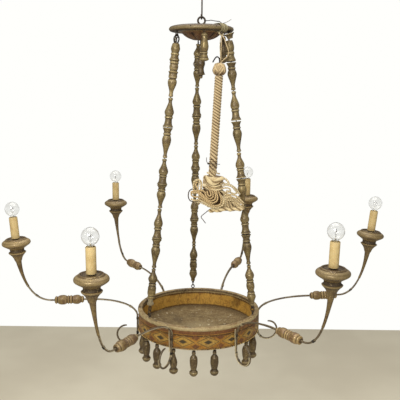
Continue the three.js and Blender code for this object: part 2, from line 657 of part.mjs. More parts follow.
const chandelier = new THREE.Group();
chandelier.add(suspensionHook(), hangingRing(), canopy(), ...CHAINS.map(chain), tassel(), tray);
for (const degrees of CANOPY_DROP_PLACES) {
  chandelier.add(drop("canopy_drop_" + degrees, canopyDropRadius, degrees, canopyUnderZ));
}

export default chandelier;
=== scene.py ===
"""Looks of a hanging chandelier of turned, gilded wood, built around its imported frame.

Sizes are in millimetres in the sketch of each part and become metres when a piece is placed.
"""

import logging
import math
from collections.abc import Callable, Sequence
from dataclasses import dataclass, field
from enum import Enum
from functools import cache
from typing import ClassVar

import bpy
import numpy as np
from mathutils import Matrix, Vector


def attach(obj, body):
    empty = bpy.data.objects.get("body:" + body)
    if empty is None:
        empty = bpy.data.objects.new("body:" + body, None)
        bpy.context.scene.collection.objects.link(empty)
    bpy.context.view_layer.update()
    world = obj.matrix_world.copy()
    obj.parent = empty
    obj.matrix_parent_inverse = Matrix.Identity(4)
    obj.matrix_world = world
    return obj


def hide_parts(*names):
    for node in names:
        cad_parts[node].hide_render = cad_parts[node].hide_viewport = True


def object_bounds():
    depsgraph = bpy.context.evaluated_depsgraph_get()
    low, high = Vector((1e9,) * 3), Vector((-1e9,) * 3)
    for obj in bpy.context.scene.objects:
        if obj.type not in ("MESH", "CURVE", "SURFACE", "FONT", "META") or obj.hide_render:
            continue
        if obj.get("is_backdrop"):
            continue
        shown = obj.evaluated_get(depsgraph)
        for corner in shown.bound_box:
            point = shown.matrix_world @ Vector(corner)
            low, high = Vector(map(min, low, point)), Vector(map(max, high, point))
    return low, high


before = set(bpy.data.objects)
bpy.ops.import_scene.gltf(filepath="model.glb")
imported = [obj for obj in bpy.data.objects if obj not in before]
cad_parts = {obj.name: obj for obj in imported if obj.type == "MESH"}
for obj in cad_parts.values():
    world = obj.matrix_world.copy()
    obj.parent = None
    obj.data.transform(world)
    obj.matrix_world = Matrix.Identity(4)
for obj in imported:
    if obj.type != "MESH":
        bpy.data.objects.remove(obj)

LOG = logging.getLogger("chandelier")
MM = 0.001
WHITE = (1.0, 1.0, 1.0, 1.0)
Point = tuple[float, float]
Place = tuple[float, float, float]
Colour = tuple[float, float, float]
Shade = tuple[int, int, int]
Socket = bpy.types.NodeSocket


def linear(*shade: int) -> Colour:
    """Turns a colour as seen on a screen, 0 to 255, into the linear values that shaders use."""
    shares = (value / 255 for value in shade)
    return tuple(c / 12.92 if c <= 0.04045 else ((c + 0.055) / 1.055) ** 2.4 for c in shares)


def rgba(colour: Colour) -> tuple[float, float, float, float]:
    """Adds full opacity to a colour."""
    return (*colour, 1.0)


def turn(degrees: float, axis: str = "Z") -> Matrix:
    """Rotation by an angle about the X, Y or Z axis."""
    return Matrix.Rotation(math.radians(degrees), 4, axis)


def shift(x: float = 0, y: float = 0, z: float = 0) -> Matrix:
    """Translation by a vector in millimetres."""
    return Matrix.Translation((x, y, z))


def stretch(x: float = 1, y: float = 1) -> Matrix:
    """Scaling across a sketch's axis."""
    return Matrix.Diagonal((x, y, 1.0, 1.0))


def station(radius: float, degrees: float, z: float) -> Matrix:
    """Place at a radius, an angle round the axis and a height, its X pointing outwards."""
    return turn(degrees) @ shift(radius, 0, z)


@dataclass(frozen=True)
class Heights:
    """Heights of the main parts, measured from the eye of the suspension hook."""

    hook_bar: float = -78.0
    ring: float = -83.45
    canopy_top: float = -97.75
    canopy_under: float = -117.75
    dish_foot: float = -141.75
    chain_hinge: float = -131.25
    rim: float = -999.75


class HalfForm(Enum):
    """Profiles of half a baluster, from its thin tip: share of length, share of radius."""

    UPPER = (
        (0, 0.36), (0.02, 0.46), (0.055, 0.48), (0.085, 0.4), (0.13, 0.36), (0.2, 0.42), (0.3, 0.62),
        (0.4, 0.85), (0.48, 0.97), (0.545, 0.92), (0.59, 0.82), (0.605, 0.74), (0.63, 0.74), (0.645, 0.83),
        (0.68, 0.84), (0.7, 0.73), (0.75, 0.72), (0.82, 0.75), (0.89, 0.83), (0.94, 0.94), (0.97, 1.05),
        (0.988, 1.06), (1, 0.97))
    LOWER = (
        (0, 0.36), (0.02, 0.46), (0.055, 0.48), (0.085, 0.4), (0.13, 0.37), (0.22, 0.44), (0.34, 0.62),
        (0.46, 0.83), (0.56, 0.96), (0.62, 0.95), (0.68, 0.88), (0.715, 0.8), (0.735, 0.72), (0.76, 0.72),
        (0.775, 0.82), (0.81, 0.83), (0.83, 0.72), (0.87, 0.73), (0.91, 0.81), (0.95, 0.93), (0.975, 1.04),
        (0.99, 1.04), (1, 0.96))
    UPPER_ROUND = (
        (0, 0.36), (0.03, 0.46), (0.07, 0.43), (0.1, 0.37), (0.16, 0.4), (0.25, 0.56), (0.38, 0.85),
        (0.48, 0.97), (0.56, 0.92), (0.63, 0.8), (0.66, 0.7), (0.7, 0.7), (0.715, 0.8), (0.76, 0.81),
        (0.8, 0.74), (0.86, 0.83), (0.93, 0.9), (1, 0.87))
    LOWER_ROUND = (
        (0, 0.42), (0.05, 0.5), (0.1, 0.46), (0.2, 0.55), (0.33, 0.79), (0.46, 0.95), (0.55, 0.9),
        (0.61, 0.8), (0.64, 0.83), (0.69, 0.83), (0.72, 0.72), (0.78, 0.68), (0.84, 0.72), (0.92, 0.85),
        (1, 0.88))
    SHORT = (
        (0, 0.66), (0.06, 0.76), (0.18, 0.88), (0.3, 0.94), (0.42, 0.88), (0.5, 0.77), (0.54, 0.75),
        (0.57, 0.84), (0.64, 0.86), (0.68, 0.77), (0.76, 0.8), (0.85, 0.9), (0.92, 1.03), (0.97, 1.04),
        (1, 0.96))
    DRUM = (
        (0, 0.36), (0.02, 0.46), (0.055, 0.48), (0.085, 0.4), (0.16, 0.43), (0.25, 0.63), (0.34, 0.86),
        (0.41, 0.97), (0.455, 0.92), (0.47, 0.82), (0.485, 0.88), (0.5, 0.74), (0.52, 0.73), (0.535, 0.86),
        (0.59, 0.9), (0.64, 0.86), (0.665, 0.92), (0.685, 1.02), (0.705, 1.02), (0.725, 0.82), (0.745, 0.76),
        (0.765, 0.84), (0.8, 0.92), (0.86, 0.93), (0.905, 0.88), (0.925, 0.8), (0.945, 0.95), (0.975, 0.95),
        (1, 0.86))
    FOOT = (
        (0, 0.66), (0.1, 0.76), (0.22, 0.78), (0.27, 0.7), (0.33, 0.7), (0.4, 0.8), (0.6, 0.88), (0.85, 0.9),
        (1, 0.87))


@dataclass(frozen=True)
class ChainSize:
    """One string of balusters.

    Attributes:
        place: Its azimuth in degrees.
        head: Bare wire at its top.
        foot: Bare wire at its foot.
        halves: Half lengths below and above each widest place, from the foot up.
        slot: Open wire between the two halves of a baluster.
    """

    place: int
    head: float
    foot: float
    halves: tuple[Point, ...]
    slot: float

    def forms(self, index: int) -> tuple[HalfForm, HalfForm]:
        """Profiles of one baluster.

        Args:
            index: Its number from the foot.

        Returns:
            Profiles of its half below and its half above.
        """
        if index == 0:
            return (HalfForm.FOOT if self.foot > 20 else HalfForm.LOWER_ROUND), HalfForm.UPPER_ROUND
        if index == len(self.halves) - 1 and self.head != 8:
            return (HalfForm.DRUM if self.head > 10 else HalfForm.LOWER), HalfForm.SHORT
        return HalfForm.LOWER, HalfForm.UPPER


@dataclass(frozen=True)
class ArmSize:
    """One hand-bent arm: place, sideways turn and candle lean in degrees, and its heights and reach."""

    place: int
    turn: float
    lean: float
    arch: float
    bead: float
    seat: float


HEIGHTS = Heights()
CHAIN_TOP_RADIUS = 91.0
CHAIN_FOOT_RADIUS = 190.0
CAGE_HEIGHT = 855.0
EYE_RADIUS = 5.5
EYE_WIRE = 3.0
EYE_GAP = 0.3
LOOP_LINE = EYE_WIRE + EYE_GAP - EYE_RADIUS
CHAINS = (
    ChainSize(90, 8, 8, ((58, 83), (92, 88), (95, 81), (99, 95), (74, 65)), 1.6),
    ChainSize(210, 17, 40, ((29, 67), (93, 95), (73, 81), (94, 91), (108, 53)), 1),
    ChainSize(330, 6, 10, ((63, 70), (100, 92), (84, 81), (97, 92), (86, 65)), 3.4),
)
ROD_RADIUS = 3.0
WALL_RADIUS = 198.0
ROD_LINE = WALL_RADIUS + 0.3 + ROD_RADIUS
ARMS = (
    ArmSize(0, 1.7, 6, 24.12, 226, 182),
    ArmSize(60, 6.4, 0, 39.96, 219.22, 220),
    ArmSize(120, -1.4, 0, 41.04, 226, 208),
    ArmSize(180, 0.8, 4.5, 33.12, 219.22, 176),
    ArmSize(240, -5, 1, 29.88, 235.04, 197),
    ArmSize(300, -0.3, 1.5, 38.88, 228.26, 206),
)
TRAY_DROPS = tuple(place for place in range(0, 360, 20) if place != 300)
CANOPY_DROPS = (30, 270)
TASSEL_EYE = station(92, 305, 0) @ turn(-6 - 305)


class Slot(Enum):
    """Material slots that the pieces are labelled with."""

    GILT_WOOD = "gilt_wood"
    PAINTED_WOOD = "painted_wood"
    BOARD_WOOD = "board_wood"
    IRON = "iron"
    IVORY = "ivory_sleeve"
    GLASS = "clear_glass"
    CORD = "cotton_cord"


@dataclass(frozen=True)
class AgedFinish:
    """A painted or gilded surface that has worn and gathered dust, colours 0 to 255; its dirt colour also paints
    shade in hollows and its crest colour paints highlights.
    """

    name: str
    coat: Shade
    bare: Shade
    grime: Shade
    crest: Shade
    loss: float = 0.5
    roughness: float = 0.5
    metallic: float = 0.0
    stain: float = 0.3
    relief: float = 0.4


@dataclass(frozen=True)
class ThreadFinish:
    """Twisted cord or twine, its colours from 0 to 255: light on the strands' crowns and dark in the grooves as
    painted shade, both also mottled by stains.
    """

    name: str
    light: Shade
    dark: Shade


@dataclass(frozen=True)
class MetalFinish:
    """Drawn or pressed metal with faint tarnish."""

    name: str
    colour: Shade
    roughness: float


class Graph:
    """Small helper that adds shader nodes to a tree and links them."""

    def __init__(self, tree: bpy.types.NodeTree) -> None:
        """Works on a node tree."""
        self.tree = tree

    def add(self, kind: str, values: dict | None = None, **settings: object) -> bpy.types.Node:
        """Adds a node.

        Args:
            kind: Node type's identifier.
            values: Input values by socket name or index; a socket is linked instead of set.
            **settings: Properties of the node.

        Returns:
            The new node.
        """
        node = self.tree.nodes.new(kind)
        for key, value in settings.items():
            setattr(node, key, value)
        for key, value in (values or {}).items():
            if isinstance(value, Socket):
                self.link(value, node.inputs[key])
            else:
                node.inputs[key].default_value = value
        return node

    def link(self, source: Socket, target: Socket) -> None:
        """Links two sockets."""
        self.tree.links.new(source, target)

    def mark(self, name: str, output: str = "Fac") -> Socket:
        """One of the marks that a mesh carries: grain, ridge or tone."""
        return self.add("ShaderNodeAttribute", attribute_name=name).outputs[output]

    def noise(self, vector: Socket, scale: float, detail: float = 3.0, rough: float = 0.55) -> Socket:
        """Noise from 0 to 1 over a vector."""
        values = {"Vector": vector, "Scale": scale, "Detail": detail, "Roughness": rough}
        return self.add("ShaderNodeTexNoise", values).outputs["Fac"]

    def ramp(self, value: Socket, low: float, high: float, start: float = 0.0, end: float = 1.0) -> Socket:
        """Maps low..high smoothly to start..end."""
        values = {"Value": value, "From Min": low, "From Max": high, "To Min": start, "To Max": end}
        return self.add("ShaderNodeMapRange", values, interpolation_type="SMOOTHSTEP").outputs["Result"]

    def math(self, operation: str, first: object, second: object = 0.0) -> Socket:
        """One arithmetic step."""
        return self.add("ShaderNodeMath", {0: first, 1: second}, operation=operation).outputs[0]

    def sum(self, *parts: tuple[object, float]) -> Socket:
        """Weighted sum.

        Args:
            *parts: Values and their weights.

        Returns:
            The sum.
        """
        terms = [value if weight == 1 else self.math("MULTIPLY", value, weight) for value, weight in parts]
        total = terms[0]
        for term in terms[1:]:
            total = self.math("ADD", total, term)
        return total

    def mix(self, factor: object, first: object, second: object, blend: str = "MIX") -> Socket:
        """Mixes two colours."""
        ends = {i: c if isinstance(c, Socket) else rgba(c) for i, c in ((6, first), (7, second))}
        return self.add("ShaderNodeMix", {0: factor, **ends}, data_type="RGBA", blend_type=blend).outputs[2]

    def toned(self, colour: Socket, value: Socket) -> Socket:
        """A colour made lighter or darker by a value."""
        tint = self.add("ShaderNodeCombineColor", {0: value, 1: value, 2: value}).outputs[0]
        return self.mix(1.0, colour, tint, "MULTIPLY")

    def dress(self, surface: bpy.types.Node, group: bpy.types.Node, relief: float, distance: float) -> None:
        """Feeds a surface from a group's Color, Roughness, Metallic and Height.

        Args:
            surface: The surface.
            group: The group.
            relief: Strength of the bump.
            distance: Its depth in metres.
        """
        self.link(group.outputs["Color"], surface.inputs["Base Color"])
        for name in ("Roughness", "Metallic"):
            if name in group.outputs:
                self.link(group.outputs[name], surface.inputs[name])
        self.bump(surface, group.outputs["Height"], relief, distance)

    def bump(self, surface: bpy.types.Node, height: Socket, strength: float, distance: float) -> None:
        """Raises a surface by a height."""
        values = {"Height": height, "Strength": strength, "Distance": distance}
        self.link(self.add("ShaderNodeBump", values).outputs["Normal"], surface.inputs["Normal"])


class EffectGroups:
    """Shader node groups shared by several finishes, each made once."""

    @staticmethod
    def _start(name: str, inputs: dict[str, object], outputs: Sequence[str]) -> tuple[Graph, dict, dict]:
        """Makes an empty group.

        Args:
            name: Its name.
            inputs: Its inputs and their defaults.
            outputs: Names of its outputs.

        Returns:
            Its graph, the sockets that it gets and those that it fills, by name.
        """
        tree = bpy.data.node_groups.new(name, "ShaderNodeTree")
        for title, default in inputs.items():
            kind = "NodeSocketColor" if isinstance(default, tuple) else "NodeSocketFloat"
            tree.interface.new_socket(name=title, in_out="INPUT", socket_type=kind).default_value = default
        for title in outputs:
            kind = "NodeSocketColor" if title == "Color" else "NodeSocketFloat"
            tree.interface.new_socket(name=title, in_out="OUTPUT", socket_type=kind)
        start, end = tree.nodes.new("NodeGroupInput"), tree.nodes.new("NodeGroupOutput")
        return Graph(tree), {s.name: s for s in start.outputs}, {s.name: s for s in end.inputs}

    @cache
    def aged(self) -> bpy.types.NodeTree:
        """Coat that flakes off in patches, with dirt streaks and stains, the dirt colour in the hollows as dirt
        and painted shade, and the crest colour on crests as a painted highlight.

        Returns:
            The group.
        """
        g, given, out = self._start(
            "aged_coat",
            {"Coat": WHITE, "Bare": WHITE, "Grime": WHITE, "Crest": WHITE, "Loss": 0.5, "Roughness": 0.6,
             "Metallic": 0.0, "Stain": 0.3},
            ("Color", "Roughness", "Metallic", "Height"))
        grain, ridge, tone = g.mark("grain", "Vector"), g.mark("ridge"), g.mark("tone")
        drawn = g.add("ShaderNodeVectorMath", {0: grain, 1: (1.0, 1.0, 0.16)}, operation="MULTIPLY").outputs[0]
        patches = g.noise(grain, 55.0, 4.0)
        flakes = g.noise(grain, 240.0, 5.0, 0.65)
        specks = g.noise(grain, 900.0, 2.0)
        streaks = g.noise(drawn, 420.0)
        loss = g.sum((patches, 0.55), (flakes, 0.45))
        edge = g.math("SUBTRACT", 0.86, g.math("MULTIPLY", given["Loss"], 0.72))
        worn = g.ramp(g.math("SUBTRACT", loss, edge), -0.06, 0.06)
        base = g.mix(worn, given["Coat"], given["Bare"])
        broad = g.sum((g.noise(grain, 17.0, 4.0), 0.75), (flakes, 0.25))
        base = g.mix(g.math("MULTIPLY", g.ramp(broad, 0.52, 0.68), given["Stain"]), base, given["Grime"])
        pale = g.math("MULTIPLY", g.ramp(broad, 0.44, 0.34), g.math("MULTIPLY", given["Stain"], 0.5))
        base = g.mix(pale, base, given["Crest"])
        base = g.mix(g.ramp(streaks, 0.3, 0.75, 0.0, 0.45), base, given["Grime"])
        # hollows take the dirt colour: partly dirt, partly painted shade
        hollow = g.ramp(g.sum((ridge, 1), (flakes, 0.35)), 0.62, 0.28)
        base = g.mix(g.math("MULTIPLY", hollow, 0.85), base, given["Grime"])
        # crests take the lighter crest colour: a painted highlight
        crest = g.ramp(g.sum((ridge, 1), (patches, 0.35)), 0.78, 1.02)
        base = g.mix(g.math("MULTIPLY", crest, 0.3), base, given["Crest"])
        # bright flecks in the crest colour: painted glints, also made glossier in the roughness
        flecks = g.ramp(g.noise(grain, 330.0, 2.0), 0.62, 0.7)
        base = g.mix(g.math("MULTIPLY", flecks, 0.6), base, given["Crest"])
        value = g.math("ADD", 0.76, g.math("MULTIPLY", tone, 0.42))
        value = g.math("MULTIPLY", value, g.ramp(specks, 0.25, 0.75, 0.84, 1.14))
        g.link(g.toned(base, value), out["Color"])
        rough = g.sum((given["Roughness"], 1), (g.math("SUBTRACT", flakes, 0.5), 0.5), (hollow, 0.2),
                      (flecks, -0.15))
        g.link(rough, out["Roughness"])
        leaf = g.math("SUBTRACT", 1.0, g.math("MULTIPLY", g.math("MAXIMUM", worn, hollow), 0.7))
        g.link(g.math("MULTIPLY", leaf, given["Metallic"]), out["Metallic"])
        g.link(g.sum((flakes, 0.6), (streaks, 0.3), (worn, -0.35)), out["Height"])
        return g.tree

    @cache
    def thread(self) -> bpy.types.NodeTree:
        """Twisted fibres, lighter on top of each strand and darker in the grooves: painted shade.

        Returns:
            The group.
        """
        g, given, out = self._start("twisted_thread", {"Light": WHITE, "Dark": WHITE},
                                    ("Color", "Roughness", "Height"))
        grain, ridge, tone = g.mark("grain", "Vector"), g.mark("ridge"), g.mark("tone")
        fibre = g.noise(grain, 1500.0, 2.0)
        stain = g.noise(grain, 40.0)
        # low ridge in the grooves between strands gives the dark colour: painted shade
        light = g.sum((ridge, 0.75), (stain, 0.4), (g.math("SUBTRACT", fibre, 0.5), 0.3))
        base = g.mix(g.ramp(light, 0.26, 1.0), given["Dark"], given["Light"])
        g.link(g.toned(base, g.math("ADD", 0.82, g.math("MULTIPLY", tone, 0.3))), out["Color"])
        g.link(g.ramp(fibre, 0.0, 1.0, 0.85, 1.0), out["Roughness"])
        g.link(fibre, out["Height"])
        return g.tree


class Palette:
    """Makes each finish's material once and hands it out."""

    def __init__(self) -> None:
        """Starts with no material."""
        self._effects = EffectGroups()

    @staticmethod
    def _blank(name: str) -> tuple[bpy.types.Material, Graph, bpy.types.Node]:
        """Makes a material.

        Args:
            name: Its name.

        Returns:
            It, its graph and its surface node.
        """
        material = bpy.data.materials.new(name)
        material.use_nodes = True
        return material, Graph(material.node_tree), material.node_tree.nodes["Principled BSDF"]

    @cache
    def dress(self, finish: AgedFinish | ThreadFinish | MetalFinish) -> bpy.types.Material:
        """Material of a finish.

        Args:
            finish: What it looks like.

        Returns:
            The material, the same one each time that a finish comes back.
        """
        material, g, surface = self._blank(finish.name)
        if isinstance(finish, AgedFinish):
            group = g.add("ShaderNodeGroup", node_tree=self._effects.aged())
            for name in ("Coat", "Bare", "Grime", "Crest"):
                group.inputs[name].default_value = rgba(linear(*getattr(finish, name.lower())))
            for name in ("Loss", "Roughness", "Metallic", "Stain"):
                group.inputs[name].default_value = getattr(finish, name.lower())
            g.dress(surface, group, finish.relief, 0.0006)
        elif isinstance(finish, ThreadFinish):
            group = g.add("ShaderNodeGroup", node_tree=self._effects.thread())
            group.inputs["Light"].default_value = rgba(linear(*finish.light))
            group.inputs["Dark"].default_value = rgba(linear(*finish.dark))
            surface.inputs["Sheen Weight"].default_value = 0.15
            g.dress(surface, group, 0.5, 0.0004)
        else:
            tarnish = g.noise(g.mark("grain", "Vector"), 400.0)
            colour = linear(*finish.colour)
            darker = tuple(c * 0.6 for c in colour)
            g.link(g.mix(g.ramp(tarnish, 0.35, 0.7), colour, darker), surface.inputs["Base Color"])
            surface.inputs["Metallic"].default_value = 0.9
            rough = g.ramp(tarnish, 0.2, 0.8, finish.roughness, finish.roughness + 0.2)
            g.link(rough, surface.inputs["Roughness"])
        return material

    @cache
    def sleeve(self) -> bpy.types.Material:
        """Ivory candle sleeve with faint stains.

        Returns:
            The material.
        """
        material, g, surface = self._blank("ivory_sleeve")
        grain = g.mark("grain", "Vector")
        stain = g.noise(grain, 60.0, 4.0)
        base = g.mix(g.ramp(stain, 0.4, 0.75), linear(208, 184, 130), linear(188, 160, 104))
        g.link(base, surface.inputs["Base Color"])
        g.link(g.ramp(stain, 0.2, 0.8, 0.42, 0.62), surface.inputs["Roughness"])
        g.bump(surface, g.noise(grain, 500.0, 2.0), 0.12, 0.0003)
        surface.inputs["Subsurface Weight"].default_value = 0.1
        surface.inputs["Subsurface Radius"].default_value = (0.004, 0.003, 0.002)
        surface.inputs["Subsurface Scale"].default_value = 1.0
        return material

    @cache
    def glass(self) -> bpy.types.Material:
        """Clear thin bulb glass.

        Returns:
            The material.
        """
        material, g, surface = self._blank("bulb_glass")
        dust = g.noise(g.mark("grain", "Vector"), 120.0)
        surface.inputs["Base Color"].default_value = (0.92, 0.92, 0.91, 1.0)
        surface.inputs["Transmission Weight"].default_value = 1.0
        surface.inputs["IOR"].default_value = 1.45
        g.link(g.ramp(dust, 0.4, 0.9, 0.0, 0.06), surface.inputs["Roughness"])
        return material


CHAIN_GILT = AgedFinish(
    "chain_gilt", (146, 128, 84), (104, 86, 54), (58, 45, 28), (214, 196, 146),
    roughness=0.45, metallic=0.35, relief=0.5)
CUP_GILT = AgedFinish(
    "cup_gilt", (134, 114, 74), (104, 82, 52), (56, 42, 26), (206, 182, 130), roughness=0.44, metallic=0.35)
CANOPY_GILT = AgedFinish(
    "canopy_gilt", (97, 80, 48), (82, 60, 35), (48, 34, 21), (182, 166, 122), roughness=0.46, metallic=0.3)
DISH_RED = AgedFinish(
    "dish_red", (124, 90, 54), (98, 60, 36), (38, 25, 17), (190, 158, 104), roughness=0.48, metallic=0.25)
DROP_BROWN = AgedFinish(
    "drop_brown", (124, 106, 70), (88, 70, 44), (44, 34, 22), (186, 166, 116),
    loss=0.55, roughness=0.46, metallic=0.3, relief=0.5)
BEAD_ROSE = AgedFinish(
    "bead_rose", (140, 116, 70), (116, 86, 58), (56, 42, 28), (206, 180, 128), roughness=0.46, metallic=0.25)
RIM_WORN = AgedFinish(
    "rim_worn", (168, 146, 102), (130, 102, 58), (54, 38, 22), (226, 208, 158),
    loss=0.48, roughness=0.55, stain=0.85, relief=1.0)
WALL_OCHRE = AgedFinish(
    "wall_ochre", (164, 114, 38), (124, 80, 34), (48, 30, 15), (206, 162, 80),
    loss=0.4, roughness=0.48, metallic=0.12, stain=0.75)
WALL_RED = AgedFinish(
    "wall_red", (112, 66, 31), (134, 92, 40), (42, 25, 14), (182, 136, 64), loss=0.45, stain=0.6)
# lighter than the outer wall's ochre: painted light for the light falling inside the hoop
INNER_OCHRE = AgedFinish(
    "inner_ochre", (222, 172, 78), (174, 126, 56), (76, 50, 23), (242, 206, 122),
    loss=0.42, roughness=0.42, metallic=0.15, stain=0.6)
LOZENGE_GOLD = AgedFinish(
    "lozenge_gold", (190, 150, 68), (152, 112, 48), (70, 48, 24), (216, 184, 112),
    loss=0.42, roughness=0.42, metallic=0.15, stain=0.55, relief=0.3)
LOZENGE_LINE = AgedFinish(
    "lozenge_line", (70, 48, 26), (104, 76, 40), (40, 28, 16), (150, 116, 62), relief=0.3)
LOZENGE_DARK = AgedFinish(
    "lozenge_dark", (66, 56, 32), (92, 76, 42), (32, 26, 18), (124, 106, 64), loss=0.4, relief=0.3)
BOARD_DUSTY = AgedFinish(
    "board_dusty", (138, 118, 78), (114, 92, 56), (76, 60, 36), (184, 168, 128),
    roughness=0.8, stain=0.7, relief=0.5)
DEBRIS = AgedFinish(
    "debris", (190, 178, 146), (160, 142, 104), (110, 92, 60), (222, 212, 184),
    loss=0.4, roughness=0.7, relief=0.3)
ARM_IRON = AgedFinish(
    "arm_iron", (118, 104, 80), (84, 68, 48), (46, 38, 28), (196, 182, 146), metallic=0.3, relief=0.6)
BLACK_IRON = AgedFinish(
    "black_iron", (44, 40, 36), (62, 52, 42), (24, 22, 20), (104, 94, 80), loss=0.4, metallic=0.5, relief=0.5)
IRON_DARK = AgedFinish(
    "iron_dark", (70, 60, 48), (96, 78, 58), (38, 32, 26), (150, 136, 110),
    loss=0.45, roughness=0.55, metallic=0.5, relief=0.6)
BLACK_FITTING = AgedFinish(
    "black_fitting", (34, 32, 30), (50, 46, 42), (22, 20, 18), (80, 76, 70),
    loss=0.3, roughness=0.45, relief=0.2)
ROPE_CREAM = ThreadFinish("rope_cream", (214, 190, 146), (88, 62, 30))
SKIRT_CREAM = ThreadFinish("skirt_cream", (226, 206, 160), (108, 80, 42))
SKIRT_FADED = ThreadFinish("skirt_faded", (226, 210, 172), (130, 110, 74))
SKIRT_OCHRE = ThreadFinish("skirt_ochre", (214, 186, 134), (92, 64, 32))
# dark brown thread: painted shade for the body in the skirt, and the real colour of the rope's binding
SHADE_AND_BINDING = ThreadFinish("skirt_shade", (112, 82, 44), (64, 44, 22))
TWINE_OLIVE = ThreadFinish("twine_olive", (158, 148, 110), (78, 70, 46))
TWINE_TAN = ThreadFinish("twine_tan", (200, 186, 148), (112, 94, 62))
FLEX_GREY = ThreadFinish("flex_grey", (168, 154, 122), (98, 86, 62))
FLEX_CREAM = ThreadFinish("flex_cream", (214, 200, 160), (140, 122, 86))
CAP_BRASS = MetalFinish("cap_brass", (186, 160, 100), 0.3)
FILAMENT_WIRE = MetalFinish("filament_wire", (120, 112, 104), 0.35)


@dataclass
class Solid:
    """One closed shape in a sketch: points in millimetres, faces, and the marks its shaders read.

    Attributes:
        points: Points, one row each.
        faces: Faces as point indices.
        ridge: 0 in hollows, 0.5 on plain surface, 1 on crests, one per point; shaders paint dirt and shade in
            the hollows and highlights on the crests.
        grain: Place of each point in the wood or metal, grain along Z.
        tone: How light this shape is among its like, 0 to 1.
    """

    points: np.ndarray
    faces: list[tuple[int, ...]]
    ridge: np.ndarray
    grain: np.ndarray
    tone: float = 0.5

    def moved(self, matrix: Matrix) -> "Solid":
        """The same shape elsewhere, with its marks kept."""
        m = np.array(matrix)
        return Solid(self.points @ m[:3, :3].T + m[:3, 3], self.faces, self.ridge, self.grain, self.tone)


class Dice:
    """Seeded random numbers, so that every run builds the same object."""

    def __init__(self, seed: int) -> None:
        """Starts from a seed."""
        self._rng = np.random.default_rng(seed)

    def between(self, low: float, high: float) -> float:
        """A number between two limits."""
        return float(self._rng.uniform(low, high))

    def point(self, size: float = 1.0) -> np.ndarray:
        """A random point in a box."""
        return self._rng.uniform(-size, size, 3)

    def waves(self, count: int, size: float) -> Callable[[np.ndarray], np.ndarray]:
        """A smooth random function of an angle or length.

        Args:
            count: Waves in it.
            size: Its rough size.

        Returns:
            The function.
        """
        phases = self._rng.uniform(0, 2 * np.pi, count)
        gains = self._rng.normal(0, size / math.sqrt(count), count)

        def wave(t: np.ndarray) -> np.ndarray:
            """Value at an angle or length."""
            return sum(a * np.sin((i + 1) * t + p) for i, (a, p) in enumerate(zip(gains, phases)))

        return wave


def smooth_line(points: Sequence[Sequence[float]], steps: int, sharp: Sequence[int] = (),
                closed: bool = False) -> np.ndarray:
    """Curve through points, with corners kept at the sharp ones.

    Args:
        points: Points of any dimension.
        steps: Steps between two points.
        sharp: Indices of points that stay corners.
        closed: Whether the curve runs back to its start.

    Returns:
        The curve's points.
    """
    p = np.array([q[:3] for q in points], float)
    n = len(p)
    out = []
    for i in range(n if closed else n - 1):
        b, c = p[i], p[(i + 1) % n]
        a = p[(i - 1) % n] if closed or (i > 0 and i not in sharp) else b - (c - b)
        d = p[(i + 2) % n] if closed or (i + 2 < n and i + 1 not in sharp) else c + (c - b)
        for t in np.arange(steps) / steps:
            out.append(0.5 * (2 * b + (c - a) * t + (2 * a - 5 * b + 4 * c - d) * t * t
                              + (3 * b - a - 3 * c + d) * t ** 3))
    if not closed:
        out.append(p[-1])
    return np.array(out)


def unit(vectors: np.ndarray) -> np.ndarray:
    """Vectors of length 1."""
    return vectors / np.linalg.norm(vectors, axis=-1, keepdims=True)


def lengths(line: np.ndarray) -> np.ndarray:
    """Length along a line at each of its points."""
    return np.concatenate([[0], np.cumsum(np.linalg.norm(np.diff(line, axis=0), axis=1))])


def ridges(profile: np.ndarray, reach: float) -> np.ndarray:
    """Marks crests and hollows along a turned profile.

    Args:
        profile: Points of [radius, height].
        reach: Length over which the surface is compared with its neighbourhood.

    Returns:
        0 to 1 for each point, 0.5 on a plain stretch.
    """
    radius, along = profile[:, 0], lengths(profile)
    weight = np.exp(-(((along[:, None] - along[None, :]) / reach) ** 2))
    mean = weight @ radius / weight.sum(1)
    return np.clip(0.5 + (radius - mean) / (0.45 * reach), 0, 1)


